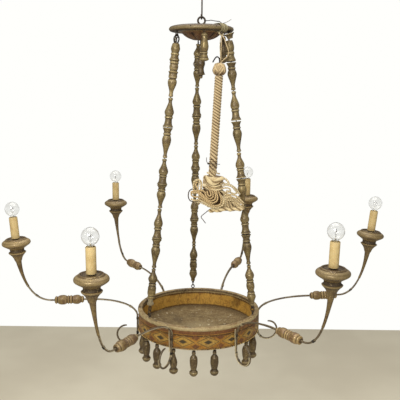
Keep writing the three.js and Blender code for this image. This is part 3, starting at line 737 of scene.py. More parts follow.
@dataclass
class Lathe:
    """Turns profiles into solids."""

    dice: Dice

    def turned(self, profile: Sequence[Point], sides: int = 32, steps: int = 3, sharp: Sequence[int] = (),
               reach: float = 4.0, wobble: float = 0.0,
               lobes: Callable[[np.ndarray, np.ndarray], np.ndarray] | None = None) -> Solid:
        """A solid about +Z.

        Args:
            profile: Points of (radius, height), up the outside, ending on the axis or closing on itself.
            sides: Steps round the axis.
            steps: Steps between two points of the profile.
            sharp: Points of the profile that stay corners.
            reach: How wide a hollow may be and still count as one.
            wobble: Unevenness of the hand turning, in millimetres.
            lobes: Change of radius as a function of angle and height; it also lowers the ridge mark in the
                creases between lobes, for painted shade there.

        Returns:
            The solid.
        """
        line = smooth_line(profile, steps, sharp) if steps > 1 else np.array(profile, float)
        line[:, 0] = np.maximum(line[:, 0], 0)
        angles = np.arange(sides) * 2 * np.pi / sides
        uneven = self.dice.waves(5, wobble)(angles) if wobble else np.zeros(sides)
        radius, height = line[:, :1], line[:, 1:2]
        out = radius + uneven * (radius > 1e-6)
        marks = ridges(line, reach)[:, None] + 0 * out
        if lobes is not None:
            swell = np.where(radius > 1e-6, lobes(angles + 0 * radius, height), 0)
            out = out + swell
            # the lobes also move the ridge mark: painted shade in the creases between them, painted highlight on
            # their crowns
            marks = np.clip(marks + swell / (np.abs(swell).max() + 1e-9) * 0.6, 0, 1)
        out = np.maximum(out, 0)
        points = np.stack([out * np.cos(angles), out * np.sin(angles), height + 0 * out], -1)
        closed = np.allclose(line[0], line[-1]) and line[0, 0] > 1e-6
        return self._rings(points[:-1] if closed else points, marks[:-1] if closed else marks, closed)

    def _rings(self, rings: np.ndarray, marks: np.ndarray, closed: bool) -> Solid:
        """Joins rings of points.

        Args:
            rings: Points, ring by ring.
            marks: Ridge of each point.
            closed: Whether the last ring joins the first.

        Returns:
            The solid.
        """
        count, sides = rings.shape[:2]
        points, ridge, rows, faces = [], [], [], []
        for ring, mark in zip(rings, marks):
            first, kept = len(points), 1 if np.abs(ring[:, :2]).max() < 1e-6 else sides
            points.extend(ring[:kept])
            ridge.extend(mark[:kept])
            rows.append([first + j % kept for j in range(sides)])
        for i in range(count if closed else count - 1):
            low, high = rows[i], rows[(i + 1) % count]
            for j in range(sides):
                k = (j + 1) % sides
                corners = tuple(dict.fromkeys((low[j], low[k], high[k], high[j])))
                if len(corners) > 2:
                    faces.append(corners)
        if not closed:
            faces += [tuple(end) for end in (rows[0][::-1], rows[-1]) if len(set(end)) > 1]
        points = np.array(points, float)
        grain = points * MM + self.dice.point()
        return Solid(points, faces, np.array(ridge, float), grain, self.dice.between(0, 1))


@dataclass
class Drawbench:
    """Draws wires, rods and cords along lines."""

    dice: Dice

    def wire(self, line: np.ndarray, radius: float | np.ndarray, sides: int = 8, closed: bool = False,
             strands: int = 0, lay: float | np.ndarray = 1.0, depth: float = 0.22, flat: float = 1.0) -> Solid:
        """A round or twisted bar along a line.

        Args:
            line: Points of its centre line.
            radius: Its radius, the same all along or one per point.
            sides: Sides of the section.
            closed: Whether the line runs back to its start.
            strands: Strands laid round each other, 0 for a plain bar.
            lay: Length of one turn of the strands, left-handed where negative, or one length per point.
            depth: Depth of the grooves between strands, as a share of the radius.
            flat: Share of the radius kept along the second direction of the section.

        Returns:
            The solid.
        """
        p = np.asarray(line, float)
        n = len(p)
        radius = np.broadcast_to(np.asarray(radius, float), (n,))[:, None]
        tangent = unit(np.roll(p, -1, 0) - np.roll(p, 1, 0) if closed else np.gradient(p, axis=0))
        side = unit(np.cross(tangent[0], np.eye(3)[np.argmin(np.abs(tangent[0]))]))
        frames = [side]
        for ahead in tangent[1:]:
            side = unit(side - ahead * (side @ ahead))
            frames.append(side)
        first = np.array(frames)
        second = np.cross(tangent, first)
        along = lengths(p)[:, None]
        angle = np.arange(sides) * 2 * np.pi / sides
        theta = angle + 0 * along
        if closed:
            last = unit(first[-1] - tangent[0] * (first[-1] @ tangent[0]))
            slip = math.atan2(np.cross(last, first[0]) @ tangent[0], last @ first[0])
            theta = theta + slip * along / along[-1]
        size = radius * np.ones(sides)
        ridge = np.full((n, sides), 0.5)
        if strands:
            step = np.diff(along[:, 0], prepend=0) / np.broadcast_to(lay, (n,))
            phase = strands * (theta - 2 * np.pi * np.cumsum(step)[:, None]) / 2
            # ridge falls towards 0 in the grooves, where the shaders paint shade
            ridge = np.abs(np.cos(phase)) ** 0.7
            size = size * (1 - depth * (1 - ridge))
        points = (p[:, None, :] + (size * np.cos(theta))[..., None] * first[:, None, :]
                  + (size * flat * np.sin(theta))[..., None] * second[:, None, :])
        faces = []
        for i in range(n if closed else n - 1):
            k = (i + 1) % n
            for j in range(sides):
                m = (j + 1) % sides
                faces.append((i * sides + j, i * sides + m, k * sides + m, k * sides + j))
        if not closed:
            faces.append(tuple(reversed(range(sides))))
            faces.append(tuple((n - 1) * sides + j for j in range(sides)))
        grain = np.stack([np.cos(angle) * radius, np.sin(angle) * radius, along + 0 * theta], -1)
        grain = grain.reshape(-1, 3) * MM + self.dice.point()
        return Solid(points.reshape(-1, 3), faces, ridge.reshape(-1), grain, self.dice.between(0.2, 0.8))

    def ring(self, radius: float, wire: float, matrix: Matrix, steps: int = 28, sides: int = 10) -> Solid:
        """A ring of wire in the XZ plane of a matrix.

        Args:
            radius: Radius of its centre line.
            wire: Wire's diameter.
            matrix: Its place.
            steps: Steps round it.
            sides: Sides of the wire.

        Returns:
            The solid.
        """
        t = np.arange(steps) * 2 * np.pi / steps
        line = np.stack([radius * np.cos(t), 0 * t, radius * np.sin(t)], -1)
        return self.wire(line, wire / 2, sides, closed=True).moved(matrix)

    def winding(self, line: np.ndarray, core: float | np.ndarray, wire: float, turns: float) -> Solid:
        """A thin wire wound round a rod.

        Args:
            line: Centre line of the rod.
            core: Radius at which the wire's centre runs.
            wire: Wire's diameter.
            turns: Number of turns.

        Returns:
            The solid.
        """
        p = np.asarray(line, float)
        along = lengths(p)
        s = np.linspace(0, along[-1], max(8, int(turns * 14)))
        centre = np.stack([np.interp(s, along, p[:, i]) for i in range(3)], -1)
        tangent = unit(np.gradient(centre, axis=0))
        side = unit(np.cross(tangent, np.eye(3)[np.argmin(np.abs(tangent.mean(0)))]))
        up = np.cross(tangent, side)
        core = np.interp(s, along, np.broadcast_to(np.asarray(core, float), (len(p),)))[:, None]
        t = (s / along[-1] * turns * 2 * np.pi)[:, None]
        return self.wire(centre + core * (np.cos(t) * side + np.sin(t) * up), wire / 2, 6)


@dataclass
class Piece:
    """A named Blender object made of solids, each with its material.

    Attributes:
        name: Its name.
        body: Body that it rides on.
        slot: Its material slot; not used.
        replaces: CAD nodes that it stands for.
        home: Place of the sketch that its solids are drawn in.
        solids: Its solids and their materials.
    """

    name: str
    body: str
    slot: Slot
    replaces: tuple[str, ...] = ()
    home: Matrix = field(default_factory=shift)
    solids: list[tuple[Solid, bpy.types.Material]] = field(default_factory=list)

    def add(self, solid: Solid, material: bpy.types.Material, place: Matrix | None = None) -> "Piece":
        """Adds a solid, at a place in the sketch if one is given."""
        self.solids.append((solid.moved(self.home if place is None else self.home @ place), material))
        return self

    def build(self, crease: float = 32.0) -> bpy.types.Object:
        """Makes the object, gives it its materials and lets it ride on its body.

        Args:
            crease: Angle in degrees above which an edge is shown sharp.

        Returns:
            The object.
        """
        materials = list(dict.fromkeys(material for _, material in self.solids))
        faces, index, start = [], [], 0
        for solid, material in self.solids:
            faces.extend(tuple(i + start for i in face) for face in solid.faces)
            index.extend([materials.index(material)] * len(solid.faces))
            start += len(solid.points)
        mesh = bpy.data.meshes.new(self.name)
        mesh.from_pydata(np.concatenate([s.points * MM for s, _ in self.solids]).tolist(), [], faces)
        mesh.polygons.foreach_set("material_index", index)
        for material in materials:
            mesh.materials.append(material)
        marks = {"ridge": [s.ridge for s, _ in self.solids],
                 "tone": [np.full(len(s.points), s.tone) for s, _ in self.solids]}
        for name, values in marks.items():
            mesh.attributes.new(name, "FLOAT", "POINT").data.foreach_set("value", np.concatenate(values))
        grain = np.concatenate([s.grain for s, _ in self.solids]).reshape(-1)
        mesh.attributes.new("grain", "FLOAT_VECTOR", "POINT").data.foreach_set("vector", grain)
        mesh.shade_smooth()
        mesh.set_sharp_from_angle(angle=math.radians(crease))
        mesh.validate()
        made = bpy.data.objects.new(self.name, mesh)
        bpy.context.scene.collection.objects.link(made)
        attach(made, self.body)
        if self.replaces:
            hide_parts(*self.replaces)
        LOG.info("%s: %d faces on %s", self.name, len(faces), self.body)
        return made


@dataclass
class Studio:
    """Camera, lights, floor and white surroundings.

    Attributes:
        place: Camera's place, in metres.
        heading: Azimuth that it looks along, in degrees.
        drop: How far it looks down.
        roll: Its roll.
        focal: Focal length in pixels of the 400 pixel picture.
        floor_z: Height of the floor, in metres.
    """

    place: Place = (-0.21626, -2.0051, -0.28875)
    heading: float = 83.80
    drop: float = 9.96
    roll: float = 0.64
    focal: float = 634.7
    floor_z: float = -1.99

    def _ahead(self, forward: float, right: float = 0.0, up: float = 0.0) -> Vector:
        """A point level with the camera's heading, so far forward, right and up of it."""
        c, s = (ratio(math.radians(self.heading)) for ratio in (math.cos, math.sin))
        return Vector(self.place) + Vector((c * forward + s * right, s * forward - c * right, up))

    @staticmethod
    def _shown(name: str, data: bpy.types.ID) -> bpy.types.Object:
        """Puts an object in the scene.

        Args:
            name: Its name.
            data: Its data.

        Returns:
            The object.
        """
        made = bpy.data.objects.new(name, data)
        bpy.context.scene.collection.objects.link(made)
        return made

    def camera(self) -> None:
        """Makes the camera."""
        data = bpy.data.cameras.new("camera")
        data.sensor_width = 36.0
        data.lens = self.focal / 400 * 36.0
        data.clip_end = 50.0
        made = self._shown("camera", data)
        made.matrix_world = (shift(*self.place) @ turn(self.heading - 90) @ turn(90 - self.drop, "X")
                             @ turn(self.roll))
        bpy.context.scene.camera = made

    def surroundings(self) -> None:
        """Makes the floor, the light and the white world."""
        self._floor()
        self._world()
        target = self._ahead(2.0, up=-0.35)
        self._area("key", self._ahead(0, -0.55, 0.6), target, 1.1, 42.0)
        self._area("fill", self._ahead(-0.2, 1.7, -0.25), target, 1.6, 6.0)
        self._area("ceiling", self._ahead(2.5, 0, 1.95), self._ahead(2.2, 0, -0.35), 3.2, 58.0)
        bpy.context.scene.view_settings.view_transform = "Standard"

    def _area(self, name: str, place: Vector, target: Vector, size: float, power: float) -> None:
        """Adds a round light.

        Args:
            name: Its name.
            place: Its place.
            target: What it faces.
            size: Its diameter.
            power: Its power in watts.
        """
        data = bpy.data.lights.new(name, "AREA")
        data.shape = "DISK"
        data.size = size
        data.energy = power
        data.color = (1.0, 0.975, 0.93)
        made = self._shown(name, data)
        made.location = place
        made.rotation_mode = "QUATERNION"
        made.rotation_quaternion = (target - place).to_track_quat("-Z", "Y")
        made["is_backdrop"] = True

    def _floor(self) -> None:
        """Pale floor that ends behind the tray."""
        far, near, half = 4.35, -2.5, 6.0
        ends = [self._ahead(d, s) for d, s in ((near, -half), (near, half), (far, half), (far, -half))]
        mesh = bpy.data.meshes.new("floor")
        mesh.from_pydata([(c.x, c.y, self.floor_z) for c in ends], [], [(0, 1, 2, 3)])
        material = bpy.data.materials.new("floor")
        material.use_nodes = True
        g = Graph(material.node_tree)
        surface = material.node_tree.nodes["Principled BSDF"]
        cloud = g.noise(g.add("ShaderNodeTexCoord").outputs["Object"], 1.4)
        g.link(g.mix(g.ramp(cloud, 0.3, 0.7), linear(236, 228, 205), linear(222, 213, 190)),
               surface.inputs["Base Color"])
        surface.inputs["Roughness"].default_value = 0.9
        mesh.materials.append(material)
        self._shown("floor", mesh)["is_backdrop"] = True

    @staticmethod
    def _world() -> None:
        """Surroundings that the camera sees white and that light the scene more dimly."""
        world = bpy.data.worlds.new("surroundings")
        world.use_nodes = True
        world.node_tree.nodes.clear()
        g = Graph(world.node_tree)
        light = g.add("ShaderNodeBackground", {"Color": rgba((1.0, 0.985, 0.95)), "Strength": 0.31})
        seen = g.add("ShaderNodeBackground", {"Color": rgba(linear(255, 255, 252)), "Strength": 1.0})
        path = g.add("ShaderNodeLightPath")
        ray = g.math("MAXIMUM", path.outputs["Is Camera Ray"], path.outputs["Is Transmission Ray"])
        mixed = g.add("ShaderNodeMixShader", {0: ray, 1: light.outputs[0], 2: seen.outputs[0]})
        g.add("ShaderNodeOutputWorld", {"Surface": mixed.outputs[0]}).is_active_output = True
        bpy.context.scene.world = world


def between(low: float, high: float, shares: Sequence[Point], radius: float) -> list[Point]:
    """Scales a profile of (share of length, share of radius) to (radius, height)."""
    return [(radius * out, low + (high - low) * along) for along, out in shares]


def dome(radius: float, centre: float, latitudes: Sequence[float]) -> list[Point]:
    """Points of a ball's profile at latitudes in degrees."""
    return [(radius * math.cos(a), centre + radius * math.sin(a)) for a in np.radians(latitudes)]


def bezier(points: Sequence[Point], steps: int, start: float = 0.0, end: float = 1.0) -> np.ndarray:
    """Points of a cubic Bezier curve in the XZ plane.

    Args:
        points: Four points of (x, z).
        steps: Number of points.
        start: Share of the curve that it starts at.
        end: Share that it ends at.

    Returns:
        The points.
    """
    a, b, c, d = (np.array(p, float) for p in points)
    t = np.linspace(start, end, steps)[:, None]
    p = a * (1 - t) ** 3 + 3 * b * t * (1 - t) ** 2 + 3 * c * t * t * (1 - t) + d * t ** 3
    return np.stack([p[:, 0], 0 * p[:, 0], p[:, 1]], -1)


def arc(x: float, z: float, radii: Point, angles: Point, steps: int) -> np.ndarray:
    """Points of a spiral arc in the XZ plane."""
    r, a = np.linspace(*radii, steps), np.radians(np.linspace(*angles, steps))
    return np.stack([x + r * np.cos(a), 0 * a, z + r * np.sin(a)], -1)


def straight(start: Sequence[float], end: Sequence[float], steps: int) -> np.ndarray:
    """Evenly spaced points from start to end."""
    return np.linspace(np.array(start, float), np.array(end, float), steps)


def upright(low: float, high: float, steps: int) -> np.ndarray:
    """Evenly spaced points up the Z axis."""
    return straight((0, 0, low), (0, 0, high), steps)


def slab(rows: int, columns: int, layers: Point) -> tuple[np.ndarray, list[tuple[int, ...]]]:
    """Closed slab between two grids of points.

    Args:
        rows: Steps down the slab.
        columns: Steps across it.
        layers: What tells its two sides apart.

    Returns:
        Share across, share down and layer of its points, and its faces.
    """
    grid = [(j / columns, i / rows, layer)
            for layer in layers for i in range(rows + 1) for j in range(columns + 1)]
    wide = columns + 1
    n = (rows + 1) * wide
    faces = []
    for i in range(rows):
        for j in range(columns):
            a = i * wide + j
            quad = (a, a + 1, a + wide + 1, a + wide)
            faces += [quad, tuple(n + k for k in reversed(quad))]
    edge = list(range(wide)) + [i * wide + columns for i in range(1, rows + 1)]
    edge += [rows * wide + j for j in range(columns - 1, -1, -1)] + [i * wide for i in range(rows - 1, 0, -1)]
    faces += [(b, a, n + a, n + b) for a, b in zip(edge, edge[1:] + edge[:1])]
    return np.array(grid).T, faces


def chained(*lines: np.ndarray) -> np.ndarray:
    """Lines joined end to end, with the shared points kept once."""
    return np.concatenate([lines[0], *(line[1:] for line in lines[1:])])


@dataclass
class Shop:
    """What every sub-assembly works with."""

    palette: Palette
    dice: Dice
    lathe: Lathe
    bench: Drawbench

    def dress(self, finish: AgedFinish | ThreadFinish | MetalFinish) -> bpy.types.Material:
        """Material of a finish."""
        return self.palette.dress(finish)

    def cord(self, points: Sequence[Sequence[float]], radius: float, lay: float = 5, steps: int = 8,
             sides: int = 8) -> Solid:
        """Two-strand twine through points."""
        return self.bench.wire(smooth_line(points, steps), radius, sides, strands=2, lay=lay)

    def shaken(self, shares: Sequence[Point], low: float, high: float) -> list[Point]:
        """A profile with each share of radius a little off."""
        return [(along, out * self.dice.between(low, high)) for along, out in shares]

    def eye(self, piece: Piece, finish: AgedFinish, place: Matrix) -> None:
        """Adds a wire eye that is screwed into wood and hangs down from the wood's face.

        Args:
            piece: Piece of the wood that it is screwed into.
            finish: Finish of the wire.
            place: Place of the wood's face under the eye, its Z out of the wood reversed.
        """
        material = self.dress(finish)
        centre = shift(0, 0, -2.5 - EYE_RADIUS) @ turn(90)
        piece.add(self.bench.ring(EYE_RADIUS, EYE_WIRE, centre, 32, 10), material, place)
        piece.add(self.bench.wire(upright(4, -3.6, 6), 1.5, 10), material, place)
        collar = self.lathe.turned([(0, 0.4), (3.4, 0.2), (3.6, -0.5), (1.6, -1.4), (0, -1.4)], 14, 2)
        piece.add(collar, material, place)

    def staple(self) -> Solid:
        """Small wire staple that hangs from z = 0, its bend facing along Y.

        Returns:
            The solid.
        """
        line = chained(straight((-3, 0, 3), (-3, 0, -2.5), 5), arc(0, -2.5, (3, 3), (180, 360), 14),
                       straight((3, 0, -2.5), (3, 0, 3), 5))
        return self.bench.wire(line, 0.9, 8)


@dataclass
class Suspension:
    """Iron hook that comes from the ceiling, and the ring on it with its shank, nut and turned finial."""

    shop: Shop
    wire: float = 4.5
    bend: float = 9.0
    tip: float = 6.0
    eye_sweep: float = 290.0
    finial_depth: float = 32.0
    finial_length: float = 84.0
    finial_radius: float = 13.5
    FINIAL: ClassVar[tuple[Point, ...]] = (
         (0, 0.2), (0.02, 0.34), (0.05, 0.42), (0.11, 0.44), (0.125, 0.62), (0.135, 0.9), (0.15, 1),
        (0.165, 0.94), (0.2, 0.86), (0.27, 0.74), (0.35, 0.68), (0.42, 0.76), (0.48, 0.9), (0.53, 0.96),
        (0.6, 0.92), (0.66, 0.8), (0.69, 0.66), (0.71, 0.72), (0.74, 0.64), (0.8, 0.5), (0.85, 0.36),
        (0.88, 0.33), (0.91, 0.42), (0.94, 0.45), (0.97, 0.38), (1, 0.28))

    def build(self) -> None:
        """Makes the hook and the ring."""
        self._hook()
        self._ring()

    def _hook(self) -> None:
        """Bends the eye, stem, bend and raised tip of the hook from one wire."""
        bend, bend_z = self.bend, HEIGHTS.hook_bar + self.bend
        line = chained(
            arc(0, 0, (bend, bend), (180 - self.eye_sweep, 180), 40),
            straight((-bend, 0, 0), (-bend, 0, bend_z), 24),
            arc(0, bend_z, (bend, bend), (180, 360), 26),
            straight((bend, 0, bend_z), (bend, 0, bend_z + self.tip), 6))
        radius = self.wire / 2 * (1 + 0.03 * np.sin(np.arange(len(line)) * 0.9))
        radius[-4:] *= np.linspace(1, 0.8, 4)
        piece = Piece("hook_wire", "hook", Slot.IRON, ("suspension_hook",), turn(90))
        piece.add(self.shop.bench.wire(line, radius, 12), self.shop.dress(IRON_DARK)).build()

    def _ring(self) -> None:
        """Ring, its shank through the canopy, nut and finial."""
        shop, ring = self.shop, HEIGHTS.ring
        iron = shop.dress(IRON_DARK)
        piece = Piece("ring_with_shank", "canopy", Slot.IRON, ("hanging_ring",))
        piece.add(shop.bench.ring(11, 6, shift(0, 0, ring), 40, 14), iron)
        foot = HEIGHTS.dish_foot + 6 - 0.3
        piece.add(shop.lathe.turned([(0, foot - 40), (4, foot - 39.6), (4, ring - 15), (6.2, ring - 13.4),
                                     (4.6, ring - 11), (0, ring - 10.6)], 16, 2, (1, 2)), iron)
        nut = [(0, foot - 5), (8.2, foot - 5), (9, foot - 4.3), (9, foot - 0.7), (8.2, foot), (0, foot)]
        piece.add(shop.lathe.turned(nut, 6, 1), iron)
        top = HEIGHTS.dish_foot - self.finial_depth
        outside = between(top - self.finial_length, top, self.FINIAL, self.finial_radius)
        profile = [(0.0, outside[0][1]), *outside, (0.0, outside[-1][1])]
        last = len(profile) - 1
        piece.add(shop.lathe.turned(profile, 30, 2, (0, 1, last - 1, last), 3.2, 0.25), shop.dress(DROP_BROWN))
        piece.build()


@dataclass
class Canopy:
    """Turned disc with a lobed dish, its eyes, nails and twine, and the two drops under it."""

    shop: Shop
    lobes: int = 10
    lobe_depth: float = 8.0
    nails: tuple[int, ...] = (22, 74, 121, 163, 196, 244, 291, 340)
    RUN: ClassVar[tuple[Place, ...]] = (
         (12.6, -3.4, -83.4), (14.5, -8, -83.5), (20.3, -14, -84), (26.5, -24, -83.7), (33.4, -42, -87.1),
        (40.4, -58, -89.7), (46.4, -70, -91.9), (51, -77, -96.4))
    WHISKER: ClassVar[tuple[Place, ...]] = (
         (57, -74, -97), (65.3, -66, -94), (71.3, -66, -91), (76.7, -66, -88), (82, -66, -84.4))

    def build(self) -> None:
        """Makes the disc, the dish, the eyes, the twine and the drops."""
        self._wood()
        self._twine()
        looks = ((DROP_BROWN, DropStyle.ACORN), (CHAIN_GILT, DropStyle.FLARED))
        for place, (finish, style) in zip(CANOPY_DROPS, looks):
            TurnedDrop(self.shop).build(f"canopy_drop_{place}", f"canopy_pendant_{place}",
                                        station(88, place, HEIGHTS.canopy_under), finish, style)

    def _petals(self, angle: np.ndarray, height: np.ndarray) -> np.ndarray:
        """Lobes of the dish.

        Args:
            angle: Angles round it.
            height: Heights on it.

        Returns:
            Change of radius.
        """
        share = np.clip((height - HEIGHTS.dish_foot) / (HEIGHTS.canopy_under - HEIGHTS.dish_foot), 0, 1)
        swell = np.clip(np.sin(np.pi * np.clip(share * 1.1, 0, 1)), 0, 1) ** 0.6
        return self.lobe_depth * swell * (np.abs(np.cos(self.lobes * angle / 2)) ** 0.42 - 0.9)

    def _wood(self) -> None:
        """Disc and dish with their eyes, staples and nail heads."""
        shop = self.shop
        under, top, foot = HEIGHTS.canopy_under, HEIGHTS.canopy_top, HEIGHTS.dish_foot
        iron = shop.dress(IRON_DARK)
        piece = Piece("canopy_wood", "canopy", Slot.GILT_WOOD, ("canopy",))
        disc = [(4.6, -1), (60, -1), (64, 0.2), (88, 0.2), (94, 0.9), (97.6, 3), (99.4, 6), (99.8, 9),
                (98.6, 11.6), (96.2, 14), (92, 16), (86, 17.6), (78, 18.8), (62, 19.7), (30, 19.8), (4.6, 19.8),
                (4.6, -1)]
        piece.add(shop.lathe.turned([(r, under + z) for r, z in disc], 112, 2, (0, 1, 14, 15), 6, 0.35),
                  shop.dress(CANOPY_GILT))
        dish = [(9.8, 6.2), (9.8, 0.4), (12, 0), (24, 0.6), (32, 2.6), (40, 5.6), (47, 9.4), (53, 13.6),
                (58, 18), (61, 21.4), (63, 24), (4.6, 24), (4.6, 6.2), (9.8, 6.2)]
        profile = [(r, foot + z) for r, z in dish]
        piece.add(shop.lathe.turned(profile, 180, 3, (0, 1, 10, 11, 12), 6, 0.2, self._petals),
                  shop.dress(DISH_RED))
        for chain in CHAINS:
            shop.eye(piece, BLACK_IRON, station(CHAIN_TOP_RADIUS, chain.place, under))
        shop.eye(piece, IRON_DARK, TASSEL_EYE @ shift(0, 0, under))
        for place in CANOPY_DROPS:
            piece.add(shop.staple(), iron, station(88, place, under) @ turn(90))
        for place in self.nails:
            head = shop.lathe.turned([(0, -0.6), (1.9, -0.5), (2.2, 0.2), (1.4, 0.9), (0, 1.1)], 9, 2)
            piece.add(head, iron, station(99.2, place + shop.dice.between(-3, 3), top - 9) @ turn(90, "Y"))
        piece.build()

    def _twine(self) -> None:
        """Twines over the disc's edge, the bundle under it, and a cord and a wire on top."""
        shop, dice = self.shop, self.shop.dice
        under, top = HEIGHTS.canopy_under, HEIGHTS.canopy_top
        tan, olive = shop.dress(TWINE_TAN), shop.dress(TWINE_OLIVE)
        piece = Piece("canopy_twine", "canopy", Slot.CORD)
        for i in range(12):
            place = 301.0 + i * 1.25 + dice.between(-0.7, 0.7)
            slip = dice.between(-3.4, 3.4)
            reach = dice.between(60, 68)
            line = [(reach, -slip, top + 1.0), (84, slip * 0.2, top + 1.3), (92.5, slip * 0.6, top - 1.6),
                    (99.0, slip, top - 6.4), (101.6, slip, top - 11), (100.6, slip * 0.8, under + 4.0),
                    (95.4, slip * 0.4, under - 0.9), (86, -slip * 0.4, under - 1.5),
                    (reach, -slip, under - 1.5)]
            cord = shop.cord(line, dice.between(0.9, 1.35), steps=5)
            piece.add(cord, tan if i % 4 == 1 else olive, turn(place))
        bundle = [(97, -9, -124), (97, -3, -130), (98, 3, -132), (97, 8, -127)]
        piece.add(shop.cord(bundle, 2.4, 6, 6, 9), tan, station(-4, 303, 0))
        piece.add(shop.cord(self.RUN, 1.3), shop.dress(BLACK_IRON))
        piece.add(shop.bench.wire(smooth_line(self.WHISKER, 8), 0.8, 7), shop.dress(ARM_IRON))
        piece.build()


@dataclass
class BalusterChain:
    """A string of turned balusters on an iron wire."""

    shop: Shop
    size: ChainSize
    radius: float = 14.7
    gap: float = 2.5

    def build(self) -> None:
        """Makes the chain with its wire loops and bindings."""
        shop, size = self.shop, self.size
        iron = shop.dress(IRON_DARK)
        run = CHAIN_FOOT_RADIUS - CHAIN_TOP_RADIUS
        lean = turn(-math.degrees(math.atan2(run, CAGE_HEIGHT)), "Y")
        foot_loop = -math.hypot(run, CAGE_HEIGHT) - EYE_WIRE - 0.6 + EYE_RADIUS
        top, foot = LOOP_LINE - EYE_RADIUS, foot_loop + EYE_RADIUS
        home = station(CHAIN_TOP_RADIUS, size.place, HEIGHTS.chain_hinge) @ lean
        piece = Piece(f"chain_wood_{size.place}", f"string_{size.place}", Slot.GILT_WOOD,
                      (f"chain_{size.place}",), home)
        wood = top - foot - size.head - size.foot - (len(size.halves) - 1) * self.gap
        scale = wood / sum(low + high for low, high in size.halves)
        z = foot + size.foot
        for index, (low, high) in enumerate(size.halves):
            low_form, high_form = size.forms(index)
            middle, tip = z + low * scale, z + (low + high) * scale
            slot = size.slot / 2 if index else 0.2
            self._half(piece, z, middle - slot, low_form)
            self._half(piece, tip, middle + slot, high_form)
            z = tip + self.gap
        piece.add(shop.bench.wire(upright(foot - 1, top + 1, 60), 1.5, 10), iron)
        for loop in (LOOP_LINE, foot_loop):
            piece.add(shop.bench.ring(EYE_RADIUS, EYE_WIRE, shift(0, 0, loop), 32, 10), iron)
        self._foot(piece, foot)
        bound = upright(top - size.head - 1, top - 0.5, 8)
        piece.add(shop.bench.winding(bound, 2.3, 1.3, max(3, size.head / 2)), iron)
        if size.head > 10:
            self._long_link(piece, top)
        if size.head < 7:
            self._cap(piece)
        piece.build()

    def _half(self, piece: Piece, thin: float, wide: float, form: HalfForm) -> None:
        """Turns half a baluster.

        Args:
            piece: Piece that gets it.
            thin: Height of its thin end.
            wide: Height of its wide end.
            form: Its profile.
        """
        dice = self.shop.dice
        radius = self.radius * dice.between(0.98, 1.01)
        shares = [(along + dice.between(-0.005, 0.005) * (0.05 < along < 0.95),
                   out * dice.between(0.975, 1.025)) for along, out in form.value]
        profile = [(1.7, thin), *between(thin, wide, shares, radius), (1.7, wide)]
        if wide < thin:
            profile.reverse()
        last = len(profile) - 1
        solid = self.shop.lathe.turned(profile, 28, 2, (0, 1, 2, last - 2, last - 1, last), 3.2, 0.25)
        lean = turn(dice.between(-0.7, 0.7), "X") @ turn(dice.between(-0.7, 0.7), "Y")
        middle = (thin + wide) / 2
        piece.add(solid, self.shop.dress(CHAIN_GILT), shift(0, 0, middle) @ lean @ shift(0, 0, -middle))

    def _foot(self, piece: Piece, foot: float) -> None:
        """Wire wound over the foot, or a thick twine binding and a long wire link where the wood ends high.

        Args:
            piece: Piece that gets them.
            foot: Height of the foot loop's top.
        """
        shop, end = self.shop, foot + self.size.foot
        iron = shop.dress(IRON_DARK)
        if self.size.foot <= 20:
            piece.add(shop.bench.winding(upright(foot + 1, end + 3, 8), 3.4, 1.7, 5), iron)
            return
        tan = shop.dress(TWINE_TAN)
        core = straight((0, 0, end - 21), (0.6, 0, end + 1), 20)
        swell = 7.6 + 1.5 * np.sin(np.linspace(0.3, 7.0, 20))
        piece.add(shop.bench.wire(core, swell - 1.2, 16), tan)
        piece.add(shop.bench.winding(core, swell, 2.8, 8), tan)
        link = smooth_line([(0, 0, end - 20), (-4.6, 0, foot + 12), (-4.4, 0, foot + 3), (0, 0, foot - 1),
                            (4.4, 0, foot + 3), (4.6, 0, foot + 12)], 8, closed=True)
        piece.add(shop.bench.wire(link, 1.3, 8, closed=True), iron)

    def _cap(self, piece: Piece) -> None:
        """Small flared cap, sitting askew over the hinge of the right string.

        Args:
            piece: Piece that gets it.
        """
        profile = [(6.0, -8.5), (8.0, -8.2), (8.8, -4.0), (10.6, 0.4), (13.6, 3.8), (15.8, 5.6), (15.6, 7.2),
                   (13.4, 7.4), (10.8, 4.6), (8.4, 0.6), (7.4, -3.6), (6.0, -8.5)]
        cap = self.shop.lathe.turned(profile, 30, 2, (0, 1, 5, 7), 4, 0.3)
        piece.add(cap, self.shop.dress(CHAIN_GILT), shift(2.5, 0, 0) @ turn(9, "X") @ turn(-7, "Y"))

    def _long_link(self, piece: Piece, top: float) -> None:
        """Stretched wire ring over the top of the left string, with twine left in it.

        Args:
            piece: Piece that gets them.
            top: Height of the top loop's foot.
        """
        shop, low = self.shop, top - self.size.head - 1
        right = [(3.2, 0, low), (6.2, 0, top - 11), (7.4, 0, top - 4), (5.6, 0, top + 3)]
        line = [(0, 0, top + 6), *((-x, y, z) for x, y, z in reversed(right)), (0, 0, low - 1.5), *right]
        link = shop.bench.wire(smooth_line(line, 6, closed=True), 2.3, 8, closed=True)
        piece.add(link, shop.dress(BLACK_IRON), turn(-30))
        for side in (-1, 1):
            twine = [(side * 1.2, -3.4, top + 3), (side * 2.4, -3.9, top - 6), (side * 1.4, -4.2, top - 14),
                     (side * 3.0, -6.0, low - 3)]
            piece.add(shop.cord(twine, 1.1, steps=6, sides=7), shop.dress(TWINE_TAN))


DROP_TIP = (
    (0, 0.12), (0.012, 0.3), (0.035, 0.56), (0.07, 0.79), (0.11, 0.94), (0.15, 1), (0.185, 0.97),
    (0.21, 0.86), (0.225, 0.76))
DROP_NECK = ((0.905, 0.46), (0.93, 0.47), (0.955, 0.4), (0.98, 0.42), (1, 0.36))


